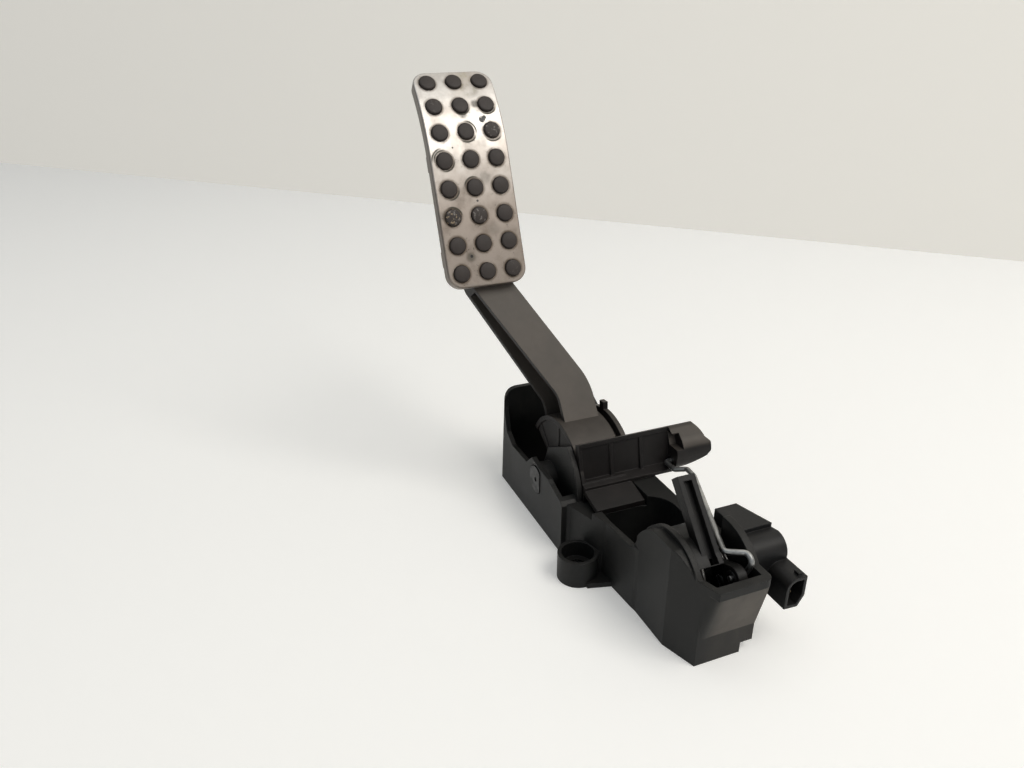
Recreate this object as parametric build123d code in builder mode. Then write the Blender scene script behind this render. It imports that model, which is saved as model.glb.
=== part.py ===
from build123d import *
import os
from math import cos, degrees, radians, sin, tan

os.makedirs("parts", exist_ok=True)

# Accelerator pedal module, in millimetres.
# The origin lies on the mounting face, midway between the two bolts.
# +X runs along the base to the sensor end, +Z is up, and -Y is called the near side.

# Fits and gaps
slip = 0.05
seat = 0.02
clearance = 0.5
rest_gap = 0.3

# Base and its bolts
bolt_spacing = 73.0
boss_diameter = 23.0
boss_height = 16.0
boss_wall = 2.2
boss_floor = 6.4
boss_web = 12.0
foot_flange = 3.0
foot_width = 34.0
sleeve_diameter = 10.0
sleeve_proud = 0.6
bolt_hole = 6.6
floor_thickness = 3.0
wall = 3.0
near_face = -36.5
far_face = 24.0

# Pedal pivot
pivot_x = -58.0
pivot_z = 30.0
pin_diameter = 8.0
pin_head_diameter = 17.0
pin_head_thickness = 1.6
pin_head_flat = 5.5
pin_dimple = 3.0
clip_thickness = 1.2
clip_width = 3.0
pin_boss_wall = 6.0
bush_wall = 1.5
bush_length = 12.0

# Pivot block, measured from the pivot
block_back = 61.0
block_front = 36.0
block_corner = 6.0
block_top_round = 10.0
pocket_gap = 1.2

# Drum of the pedal
hub_wall = 4.5
drum_radius = 37.0
drum_rim = 3.0
drum_near = -23.0
drum_width = 28.5
drum_web = 4.0
drum_rib = 2.4
drum_rib_inset = 12.0
drum_start = -18.0
drum_end = 150.0
groove_width = 3.0
groove_depth = 4.0
flange_width = 3.0
flange_height = 1.2
flange_start = 40.0
flange_end = 140.0
tab_width = 5.0
tab_height = 4.5
tab_angle = 96.0

# Pedal arm
arm_y = -8.2
arm_tilt = 35.1
arm_foot_angle = 86.0
arm_length = 90.0
arm_half_width = 11.2
arm_bend_height = 19.0
arm_lean = 27.4
arm_bend_radius = 30.0
arm_flange = 3.0
arm_web = 3.0
arm_rib = 2.2
arm_depth_top = 15.0
arm_depth_low = 29.0
arm_tail = 22.0
truss_start = 4.0
truss_pitch = 14.0
truss_ribs = 6

# Pad
pad_y = -49.3
pad_width = 48.8
pad_slope = 66.9
pad_flat = 73.7
pad_radius = 115.0
pad_sweep = 28.5
pad_corner = 9.0
pad_edge = 0.9
plate_thickness = 1.4
rim_depth = 6.4
rim_gap = 1.3
pad_overlap = 1.2
mat_thickness = 1.8
support_thickness = 2.8
tab_thickness = 1.2
tab_reach = 5.0
tab_length = 9.0
stud_diameter = 9.8
stud_height = 1.9
stud_edge = 0.8
stud_gap = 0.15
stud_pitch = 16.3
stud_column_pitch = 16.0
stud_rows = 8
stud_margin = 8.5

# Output lever
lever_near = -23.0
lever_far = 60.5
cap_near = 36.0
cap_round = 12.0
cap_end_round = 8.0
cap_lobe_round = 2.0
cap_foot_round = 8.0
cap_notch = 4.5
cap_notch_low = 25.0
shelf_far = 7.5
shelf_thickness = 3.0
lever_rib = 2.0
bumper_length = 12.0
bumper_width = 14.0
bumper_recess = 3.0
bumper_y = -7.5

# Wire link, its pivots measured from the pedal pivot and from the sensor shaft
wire_diameter = 3.0
wire_bend = 3.1
link_top_dx = 34.0
link_top_dz = 15.5
link_low_dx = 21.4
link_low_dz = 10.6
link_play = 0.6
link_bush_wall = 1.6
link_bush_length = 10.0

# Sensor shaft and crank
sensor_x = 59.0
sensor_z = 34.0
shaft_diameter = 6.0
crank_hub_wall = 4.5
spool_radius = 25.0
spool_rim = 2.5
spool_near = -12.7
spool_far = 2.0
spool_web = 3.0
spool_start = 45.0
spool_end = 300.0
bar_near = -8.0
bar_depth = 6.0
bar_groove = 4.6
bar_groove_depth = 3.6
crank_arm_near = 4.5
crank_arm_far = 9.5
crank_eye = 6.0
adjuster_diameter = 6.0
adjuster_slot = 1.2
adjuster_proud = 0.8
near_spring_radius = 15.0
near_spring_wire = 2.2
near_spring_turns = 3.0
far_spring_radius = 10.8
far_spring_wire = 1.6
far_spring_turns = 1.5

# Sensor box
cradle_near = -13.5
cradle_far = 14.5
cradle_thickness = 3.0
cradle_radius = 28.0
box_near = -21.5
box_far = 18.5
box_height = 50.0
box_foot_height = 16.0
box_back = 23.5
box_reach = 26.0
box_flare = 7.0
box_notch = 6.0
rim_height = 4.5
rim_proud = 1.8
box_round = 4.0
flare_round = 6.0
corner_slope = 0.34
trough_height = 37.0
trough_near = -24.0
trough_taper = 8.0
trough_corner = 16.0

# Sensor case and connector
sensor_back = 17.5
sensor_front = 17.0
sensor_low = 17.5
sensor_high = 22.0
sensor_step = 2.4
sensor_step_x = 4.0
sensor_far = 41.0
sensor_taper = 8.0
sensor_round = 9.0
cover_thickness = 2.0
cover_radius = 18.0
ear_radius = 4.6
spigot_radius = 9.0
cavity_radius = 14.5
cavity_depth = 11.0
seal_radius = 15.2
seal_width = 1.4
seal_thickness = 1.2
rotor_radius = 10.0
rotor_thickness = 3.0
rotor_gap = 2.5
wiper_width = 3.0
wiper_thickness = 0.5
board_thickness = 1.6
socket_length = 15.0
socket_wall = 1.6
socket_depth = 13.0
socket_round = 6.0
blade_width = 1.4
blade_thickness = 0.8
blade_length = 8.0
blade_seat = 3.0
blade_pitch = 3.4
lock_width = 2.6
lock_height = 1.5
screw_diameter = 4.0
screw_head = 7.0
screw_head_height = 2.6
screw_depth = 3.6

# Places worked out from the sizes above
bolt_y = bolt_spacing / 2
front_x = pivot_x + block_front
drum_far = drum_near + drum_width
flange_near = drum_far + groove_width
flange_far = flange_near + flange_width
guard_near = drum_near - clearance
guard_far = flange_far + clearance
pin_radius = pin_diameter / 2
bush_radius = pin_radius + slip + bush_wall
hub_radius = bush_radius + hub_wall
pin_boss_radius = pin_radius + pin_boss_wall
shaft_radius = shaft_diameter / 2
crank_hub_radius = shaft_radius + crank_hub_wall
wire_radius = wire_diameter / 2
link_top_x = pivot_x + link_top_dx
link_top_z = pivot_z + link_top_dz
link_low_x = sensor_x + link_low_dx
link_low_z = sensor_z + link_low_dz
box_rear = sensor_x - box_back
box_foot = sensor_x + box_reach
box_front = box_foot + box_flare
cover_far = box_far + cover_thickness
cavity_far = cover_far + cavity_depth
rotor_near = cover_far + rotor_gap
rotor_far = rotor_near + rotor_thickness
shaft_near = box_near + wall
socket_x = sensor_x + sensor_front
socket_end = socket_x + socket_length
socket_floor = socket_end - socket_depth

# Outlines of the pivot block and the lever, as steps from the pedal pivot
far_cheek_top = [(block_front, 9.5), (6.0, 9.5), (-20.0, 14.0), (-44.0, 26.0), (-50.0, 37.0), (-56.0, 37.0)]
near_cheek_top = [(-52.0, 24.5), (-47.0, 9.0), (-38.0, 3.5), (-15.0, 4.0), (-7.0, 11.5), (8.0, 14.4)]
near_cheek_front = [(20.0, 8.0), (34.0, 4.3), (block_front, 2.0)]
guard_edge = [(-17.0, -pivot_z), (-11.0, 4.0), (-5.0, 17.5), (22.0, 32.0), (40.0, 32.0), (40.0, -pivot_z)]
lever_back = [(30.5, 10.3), (27.5, 13.0), (24.0, 33.5)]
lever_channel = [(28.0, 35.5), (28.6, 32.8), (27.6, 32.6), (31.4, 13.6), (38.0, 12.2), (38.0, 10.3)]
lever_rib_face = [(28.2, 33.0), (33.0, 12.6)]
cap_front = [(28.0, 36.0), (41.0, 27.0), (40.0, 10.3)]
cap_outline = [(57.0, 18.0), (59.5, 21.0), (59.5, 27.0), (56.5, 28.5), (54.5, 36.5)]
shelf_root = (30.0, 12.2)
shelf_tip = (53.5, 6.8)
deck_height = pivot_z + far_cheek_top[0][1]
ledge_height = pivot_z + shelf_tip[1] - shelf_thickness - clearance - rest_gap
ledge_x = pivot_x + shelf_tip[0] + 3 * clearance
lever_gap_y = shelf_far + 2 * clearance

# Outlines of the crank and the sensor, as steps from the sensor shaft
bar_tip = (-15.5, 48.5)
bar_root = (12.5, 17.6)
adjuster_place = (13.3, 3.4)
ear_places = [(-21.5, -13.0), (14.0, -21.0)]
socket_near = sensor_far - 11.0
socket_far = sensor_far + 0.5
socket_section = [
    (socket_near, -8.5),
    (socket_far - 3.5, -9.0),
    (socket_far, -3.0),
    (socket_far, 8.5),
    (socket_near, 8.5),
]

# Corners of the wire from the lever to the crank: steps from the top pivot, then from the low one
wire_top_y = 32.5
wire_low_y = 12.3
wire_start_y = cap_near + link_bush_length - 2 * clearance
wire_end_y = crank_arm_near - 1.5
wire_top_run = [(0.0, wire_top_y, 0.0), (12.0, 31.0, 1.5), (19.0, 34.5, 5.0), (29.0, 32.5, 6.5)]
wire_low_run = [
    (-7.9, 4.3, 10.2),
    (-1.4, wire_low_y, 11.7),
    (4.6, wire_low_y, 11.4),
    (0.0, wire_low_y, 0.0),
]


def side(y, x=0.0, z=0.0):
    """Upright plane along the base: sketch x is X, sketch y is Z, and extrusions run to -Y."""
    return Plane(origin=(x, y, z), x_dir=(1, 0, 0), z_dir=(0, -1, 0))


def across(x, z):
    """Upright plane across the base: sketch x is Y, sketch y is Z, and extrusions run to +X."""
    return Plane(origin=(x, 0, z), x_dir=(0, 1, 0), z_dir=(1, 0, 0))


def at_pivot(y):
    """Such a plane with its origin on the pedal pivot."""
    return side(y, pivot_x, pivot_z)


def at_sensor(y):
    """Such a plane with its origin on the sensor shaft."""
    return side(y, sensor_x, sensor_z)


def wedge(start, end, reach):
    """Corners of a wedge about the sketch's origin that takes in a circle of that reach."""
    angles = [radians(start + (end - start) * step / 4) for step in range(5)]
    return [(0, 0)] + [(2 * reach * cos(angle), 2 * reach * sin(angle)) for angle in angles]


def corner_y(x):
    """Outer face of the box's slanted near corner at x."""
    return box_near + corner_slope * (x - sensor_x - 7.0)


# Planes of the arm: its front flange, and its side with height and depth as sketch x and y
tilt = radians(arm_tilt)
arm_foot_x = pivot_x + drum_radius * cos(radians(arm_foot_angle))
arm_foot_z = pivot_z + drum_radius * sin(radians(arm_foot_angle))
arm_foot = (arm_foot_x, arm_y, arm_foot_z)
arm_face = Plane(origin=arm_foot, x_dir=(0, 1, 0), z_dir=(cos(tilt), 0, sin(tilt)))
arm_side = Plane(origin=arm_foot, x_dir=(-sin(tilt), 0, cos(tilt)), z_dir=(0, -1, 0))

# The pad's lower front edge stands off the arm's face, and its side plane runs up the pad
slope = radians(pad_slope)
pad_stand_off = rim_depth + rim_gap
arm_top_x = arm_foot_x - arm_length * sin(tilt)
arm_top_z = arm_foot_z + arm_length * cos(tilt)
pad_x = arm_top_x + pad_stand_off * sin(slope) + pad_overlap * cos(slope)
pad_z = arm_top_z + pad_stand_off * cos(slope) - pad_overlap * sin(slope)
mat_back = plate_thickness + mat_thickness + 2 * seat
support_back = mat_back + support_thickness


def pad_side(y):
    """Plane along the pad's flank: sketch x runs up the pad and sketch y goes behind its face."""
    return Plane(origin=(pad_x, y, pad_z), x_dir=(-cos(slope), 0, sin(slope)), z_dir=(0, -1, 0))


def pad_strip(front, back, inset):
    """Side outline of a layer of the pad between two depths, held back from its ends by inset."""
    turn = pad_sweep - degrees(inset / pad_radius)
    with BuildSketch(mode=Mode.PRIVATE) as strip:
        with BuildLine():
            outer = CenterArc((pad_flat, pad_radius), pad_radius - front, -90, turn)
            inner = CenterArc((pad_flat, pad_radius), pad_radius - back, -90, turn)
            Line((inset, front), outer @ 0)
            Line(outer @ 1, inner @ 1)
            Line((inset, back), inner @ 0)
            Line((inset, front), (inset, back))
        make_face()
    return strip.sketch


def stud_plane(row):
    """Plane on the pad's face at the middle stud of a row, facing the foot."""
    run = stud_margin + row * stud_pitch
    bend = max(0.0, run - pad_flat) / pad_radius
    up = min(run, pad_flat) + pad_radius * sin(bend)
    behind = pad_radius - pad_radius * cos(bend)
    facing = slope - bend
    place = (
        pad_x - up * cos(slope) - behind * sin(slope),
        pad_y,
        pad_z + up * sin(slope) - behind * cos(slope),
    )
    return Plane(origin=place, x_dir=(0, 1, 0), z_dir=(sin(facing), 0, cos(facing)))


def arm_outline(half):
    """Front outline of a strip along the arm, which leans to the near side above its bend."""
    lean = radians(arm_lean)
    reach = arm_length + arm_tail - arm_bend_height
    kink = half * tan(lean / 2)
    top_y = -reach * sin(lean)
    top_z = arm_bend_height + reach * cos(lean)
    return [
        (-half, -arm_tail / 2),
        (half, -arm_tail / 2),
        (half, arm_bend_height + kink),
        (top_y + half * cos(lean), top_z + half * sin(lean)),
        (top_y - half * cos(lean), top_z - half * sin(lean)),
        (-half, arm_bend_height - kink),
    ]


def arm_depth(height):
    """Depth of the arm from its front flange at a height above its foot."""
    return arm_depth_low + (arm_depth_top - arm_depth_low) * height / arm_length


# Hollow of the sensor box, in which the crank turns
with BuildPart() as box_hollow:
    with BuildSketch(side(cradle_far)):
        Polygon(
            (box_rear - 2 * wall, floor_thickness),
            (box_foot - wall, floor_thickness),
            (box_foot - wall, box_foot_height),
            (box_front - wall, box_height - rim_height),
            (box_front - wall, 2 * box_height),
            (box_rear - 2 * wall, 2 * box_height),
            align=None,
        )
    extrude(amount=cradle_far - cradle_near)
    corner_inset = wall * (1 + corner_slope**2) ** 0.5
    with BuildSketch(Plane.XY):
        Polygon(
            (sensor_x, corner_y(sensor_x) + corner_inset),
            (box_front + wall, corner_y(box_front + wall) + corner_inset),
            (box_front + wall, box_near - wall),
            (sensor_x, box_near - wall),
            align=None,
        )
    extrude(amount=3 * box_height, mode=Mode.SUBTRACT)

with BuildPart() as housing:
    # Pivot block with its leaning rear wall
    with BuildSketch(at_pivot(far_face)):
        Polygon((-block_back, -pivot_z), (block_front, -pivot_z), *far_cheek_top, align=None)
    extrude(amount=far_face - near_face)
    fillet(housing.edges().filter_by(Axis.Y, reverse=True).group_by(Axis.X)[0], radius=block_corner)
    with BuildSketch(across(pivot_x - 2 * block_back, pivot_z)) as block_rear:
        with Locations((far_face, far_cheek_top[-1][1])):
            Rectangle(far_face - near_face, 4 * pivot_z, align=Align.MAX)
        fillet(block_rear.vertices().group_by(Axis.Y)[-1], radius=block_top_round)
    extrude(amount=4 * block_back, mode=Mode.INTERSECT)
    # Hull of the trough, tapered on its near side
    with BuildSketch(Plane.XY) as hull_plan:
        Polygon(
            (front_x - wall, near_face + wall / 2),
            (front_x + 2.0, near_face + 4.5),
            (trough_taper, trough_near),
            (box_rear, box_near - 0.5),
            (box_rear + wall, box_near),
            (box_rear - wall, box_near + wall),
            (box_rear - wall, far_face),
            (front_x - wall, far_face),
            align=None,
        )
        fillet(hull_plan.vertices().sort_by_distance((box_rear - wall, far_face))[0], radius=wall)
    extrude(amount=deck_height)
    # Sensor box with its flared front wall, the notch at its foot and the lip round its top
    with BuildSketch(side(box_far)):
        Polygon(
            (box_rear - wall, 0),
            (box_foot, 0),
            (box_foot, box_foot_height),
            (box_front, box_height - rim_height),
            (box_front, box_height),
            (box_rear + 4, box_height),
            (box_rear, box_height - 6),
            (box_rear - wall, trough_height),
            align=None,
        )
    extrude(amount=box_far - box_near)
    with BuildSketch(at_sensor(cradle_near - cradle_thickness)):
        Circle(cradle_radius - cradle_thickness / 2)
        with Locations((-box_back, 0)):
            raised_run = cradle_radius + box_back
            Rectangle(raised_run, box_height, align=(Align.MIN, Align.CENTER), mode=Mode.INTERSECT)
    extrude(amount=cradle_near - cradle_thickness - box_near)
    with BuildSketch(Plane.XY):
        Polygon(
            (sensor_x + 7.0, box_near),
            (box_front + 3 * wall, corner_y(box_front + 3 * wall)),
            (box_front + 3 * wall, box_near - 3 * wall),
            (sensor_x + 7.0, box_near - 3 * wall),
            align=None,
        )
    extrude(amount=2 * box_height, mode=Mode.SUBTRACT)
    flare_x = (box_foot + box_front) / 2
    flare_z = (box_foot_height + box_height - rim_height) / 2
    flare_edge = housing.edges().sort_by_distance((flare_x, corner_y(flare_x), flare_z))[0]
    fillet(flare_edge, radius=flare_round)
    lip_x = box_front + rim_proud
    with BuildSketch(Plane.XY.offset(box_height - rim_height)):
        Polygon(
            (sensor_x + 7.0, box_near),
            (lip_x, corner_y(lip_x)),
            (lip_x, box_far),
            (sensor_x + 7.0, box_far),
            align=None,
        )
    extrude(amount=rim_height)
    with BuildSketch(Plane.XY):
        with Locations((lip_x - box_round, box_far - box_round)):
            Rectangle(2 * box_round, 2 * box_round, align=Align.MIN)
            Circle(box_round, mode=Mode.SUBTRACT)
    extrude(amount=box_height, mode=Mode.SUBTRACT)
    with Locations((box_front, cradle_far - wall, 0)):
        Box(
            box_reach,
            box_far,
            2 * box_notch,
            align=(Align.MAX, Align.MIN, Align.CENTER),
            mode=Mode.SUBTRACT,
        )
    # Near cheek, ledge and near wall stand lower than the far side
    with BuildSketch(at_pivot(guard_near)):
        Polygon(
            *near_cheek_top,
            *near_cheek_front,
            (block_front, 2 * drum_radius),
            (-block_back + 9.0, 2 * drum_radius),
            align=None,
        )
    extrude(amount=guard_near - near_face, mode=Mode.SUBTRACT)
    with Locations((front_x, lever_gap_y, ledge_height)):
        Box(
            ledge_x - front_x,
            bolt_spacing,
            box_height,
            align=(Align.MIN, Align.MAX, Align.MIN),
            mode=Mode.SUBTRACT,
        )
    with Locations((ledge_x, lever_gap_y, trough_height)):
        Box(
            box_rear - wall - ledge_x,
            bolt_spacing,
            box_height,
            align=(Align.MIN, Align.MAX, Align.MIN),
            mode=Mode.SUBTRACT,
        )
    # Pocket of the drum, and the narrower one between guard plate and near cheek
    pocket_rear = [
        (-block_back + 2 * wall, floor_thickness - pivot_z),
        (0, floor_thickness - pivot_z),
        (0, 2 * drum_radius),
        (-block_back + 10.0, 2 * drum_radius),
    ]
    with BuildSketch(at_pivot(far_face - wall)):
        Circle(drum_radius + pocket_gap)
        Polygon(*pocket_rear, align=None)
        with Locations((0, floor_thickness - pivot_z)):
            Rectangle(4 * drum_radius, drum_radius, align=(Align.CENTER, Align.MAX), mode=Mode.SUBTRACT)
    extrude(amount=far_face - wall - guard_near, mode=Mode.SUBTRACT)
    with BuildSketch(at_pivot(guard_near)):
        Circle(block_front - 5.0)
        Polygon(*pocket_rear, align=None)
        with Locations((0, floor_thickness - pivot_z)):
            Rectangle(4 * drum_radius, drum_radius, align=(Align.CENTER, Align.MAX), mode=Mode.SUBTRACT)
    extrude(amount=guard_near - near_face - wall, mode=Mode.SUBTRACT)
    # Well of the trough with its round far corner
    well_x = ledge_x - 2.0
    well_far = far_face - 2 * wall
    with BuildSketch(Plane.XY.offset(floor_thickness)) as well_plan:
        Polygon(
            (well_x, trough_near + wall),
            (trough_taper, trough_near + wall),
            (box_rear - 2.5, box_near + wall),
            (box_rear - 2.5, well_far),
            (well_x, well_far),
            align=None,
        )
        fillet(well_plan.vertices().sort_by_distance((well_x, well_far))[0], radius=trough_corner)
        fillet(well_plan.vertices().sort_by_distance((well_x, trough_near + wall))[0], radius=wall)
    extrude(amount=2 * box_height, mode=Mode.SUBTRACT)
    add(box_hollow.part, mode=Mode.SUBTRACT)
    # Round-topped plates that carry the crank: the far one is cut down where the wire passes
    plate_reach = 7.0 + (cradle_near - cradle_thickness - box_near) / corner_slope
    with BuildSketch(at_sensor(cradle_near)):
        Circle(cradle_radius)
        with Locations((plate_reach, box_height - sensor_z)):
            Rectangle(cradle_radius, box_height, align=(Align.MIN, Align.MAX), mode=Mode.SUBTRACT)
    extrude(amount=cradle_thickness)
    with BuildSketch(at_sensor(box_far)):
        Circle(cradle_radius)
    extrude(amount=box_far - cradle_far)
    wire_notch = link_low_dz + wire_low_run[0][2] - wire_diameter - 3 * clearance
    with BuildSketch(at_sensor(box_far)):
        with Locations((-3.0, wire_notch)):
            Rectangle(2 * cradle_radius, box_height, align=(Align.MAX, Align.MIN))
    extrude(amount=box_far - cradle_far, mode=Mode.SUBTRACT)
    # Guard plate beside the drum, and the bosses of the pin
    with BuildSketch(at_pivot(guard_near)):
        Circle(drum_radius - clearance)
        Polygon(*guard_edge, align=None, mode=Mode.INTERSECT)
        with Locations((0, floor_thickness - pivot_z)):
            Rectangle(4 * drum_radius, drum_radius, align=(Align.CENTER, Align.MAX), mode=Mode.SUBTRACT)
    extrude(amount=wall)
    with BuildSketch(at_pivot(guard_near)):
        Circle(pin_boss_radius)
    extrude(amount=guard_near - near_face)
    with BuildSketch(at_pivot(far_face)):
        Circle(pin_boss_radius)
    extrude(amount=far_face - guard_far)
    with BuildSketch(at_pivot(far_face)):
        Circle(pin_radius + slip)
    extrude(amount=far_face - near_face, mode=Mode.SUBTRACT)
    with BuildSketch(at_pivot(near_face + pin_head_thickness)):
        Circle(pin_head_diameter / 2 + clearance)
        with Locations((pin_head_flat + clearance / 2, 0)):
            head_cut = 2 * pin_head_diameter
            Rectangle(head_cut, head_cut, align=(Align.MIN, Align.CENTER), mode=Mode.SUBTRACT)
    extrude(amount=pin_head_thickness, mode=Mode.SUBTRACT)
    # Bores of the sensor shaft and of the sensor's spigot, and the screw holes beside it
    with BuildSketch(at_sensor(cradle_near)):
        Circle(shaft_radius + slip)
    extrude(amount=cradle_near - shaft_near + clearance, mode=Mode.SUBTRACT)
    with BuildSketch(at_sensor(box_far)):
        Circle(spigot_radius + slip)
    extrude(amount=box_far - cradle_far, mode=Mode.SUBTRACT)
    with BuildSketch(at_sensor(box_far)):
        with Locations(*ear_places):
            Circle(screw_diameter / 2 + seat)
    extrude(amount=screw_depth, mode=Mode.SUBTRACT)
    # Bolt bosses: a cup on a web and a flat foot
    with BuildSketch(Plane.XY):
        with Locations((0, -bolt_y), (0, bolt_y)):
            Circle(boss_diameter / 2)
        with Locations((0, -bolt_y)):
            Rectangle(boss_web, bolt_y + trough_near + wall, align=(Align.CENTER, Align.MIN))
        with Locations((0, bolt_y)):
            Rectangle(boss_web, bolt_y - far_face + wall, align=(Align.CENTER, Align.MAX))
    extrude(amount=boss_height)
    with BuildSketch(Plane.XY):
        with Locations((0, -bolt_y)):
            Trapezoid(foot_width, bolt_y + trough_near + wall, 105, align=(Align.CENTER, Align.MIN))
        with Locations((0, bolt_y)):
            Rectangle(boss_diameter, bolt_y - far_face + wall, align=(Align.CENTER, Align.MAX))
    extrude(amount=foot_flange)
    with BuildSketch(Plane.XY.offset(boss_floor)):
        with Locations((0, -bolt_y), (0, bolt_y)):
            Circle(boss_diameter / 2 - boss_wall)
    extrude(amount=boss_height, mode=Mode.SUBTRACT)
    with BuildSketch(Plane.XY):
        with Locations((0, -bolt_y), (0, bolt_y)):
            Circle(sleeve_diameter / 2 + seat)
    extrude(amount=boss_height, mode=Mode.SUBTRACT)
    # Recess of the bumper in the ledge
    bumper_x = (front_x + ledge_x) / 2
    with Locations((bumper_x, bumper_y, ledge_height - bumper_recess)):
        Box(
            bumper_length + 2 * seat,
            bumper_width + 2 * seat,
            box_height,
            align=(Align.CENTER, Align.CENTER, Align.MIN),
            mode=Mode.SUBTRACT,
        )
housing.part.label = "housing"
export_step(housing.part, "parts/housing.step")


def pad_point(run, depth):
    """Place in X and Z of a point up the flat of the pad and behind its face."""
    x = pad_x - run * cos(slope) - depth * sin(slope)
    z = pad_z + run * sin(slope) - depth * cos(slope)
    return x, z


def on_arm(point):
    """A place in X and Z as height and depth on the arm's side plane."""
    x = point[0] - arm_foot_x
    z = point[1] - arm_foot_z
    return -x * sin(tilt) + z * cos(tilt), -x * cos(tilt) - z * sin(tilt)


# Spaces between the truss ribs, on both sides of the arm's web
with BuildPart() as arm_cells:
    with BuildSketch(arm_side):
        Polygon(
            (arm_flange, arm_flange),
            (arm_length - arm_flange, arm_flange),
            (arm_length - arm_flange, arm_depth(arm_length) - arm_flange),
            (arm_flange, arm_depth(0) - arm_flange),
            align=None,
        )
        for rib in range(truss_ribs):
            low = truss_start + rib * truss_pitch
            high = low + truss_pitch
            low_depth = arm_depth(low) * (rib % 2)
            high_depth = arm_depth(high) * ((rib + 1) % 2)
            rib_line = Line((low, low_depth), (high, high_depth), mode=Mode.PRIVATE)
            rib_angle = rib_line.tangent_angle_at(0.5)
            with Locations(rib_line @ 0.5):
                Rectangle(rib_line.length, arm_rib, rotation=rib_angle, mode=Mode.SUBTRACT)
    extrude(amount=2 * pad_width, both=True)
    with BuildSketch(arm_face):
        Polygon(*arm_outline(arm_web / 2), align=None)
    extrude(amount=-2 * arm_depth_low, mode=Mode.SUBTRACT)

# Layers of the pad, from its face to the support behind it
layer_inset = plate_thickness + stud_gap
plate_strip = pad_strip(0, rim_depth, 0)
cavity_strip = pad_strip(plate_thickness, 2 * rim_depth, plate_thickness)
mat_strip = pad_strip(plate_thickness + seat, mat_back - seat, layer_inset)
support_strip = pad_strip(mat_back, support_back, 2 * layer_inset)

# Plate of the arm that backs the pad
with BuildPart() as pad_support:
    with BuildSketch(pad_side(pad_y + pad_width / 2 - 2 * layer_inset)):
        add(support_strip)
    extrude(amount=pad_width - 4 * layer_inset)
    support_edges = pad_support.edges()
    support_corners = support_edges.filter_by(lambda edge: abs(edge.length - support_thickness) < seat)
    fillet(support_corners, radius=pad_corner - 2 * layer_inset)

# Rounded cap at the far end of the output lever: its side view cut to its front view
with BuildPart() as lever_cap:
    with BuildSketch(at_pivot(lever_far)) as cap_side:
        Polygon(*lever_back, *cap_front, align=None)
        fillet(cap_side.vertices().sort_by_distance(cap_front[1])[0], radius=cap_round)
        fillet(cap_side.vertices().sort_by_distance(cap_front[0])[0], radius=cap_round / 3)
        fillet(cap_side.vertices().sort_by_distance(cap_front[-1])[0], radius=cap_foot_round)
    extrude(amount=lever_far - cap_near)
    with BuildSketch(across(pivot_x, pivot_z)) as cap_view:
        Polygon((cap_near, cap_front[-1][1]), *cap_outline, (cap_near, cap_front[0][1]), align=None)
        fillet(cap_view.vertices().sort_by_distance(cap_outline[-1])[0], radius=cap_end_round)
        fillet(cap_view.vertices().sort_by_distance(cap_outline[2])[0], radius=cap_lobe_round)
    extrude(amount=block_back, mode=Mode.INTERSECT)

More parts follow.
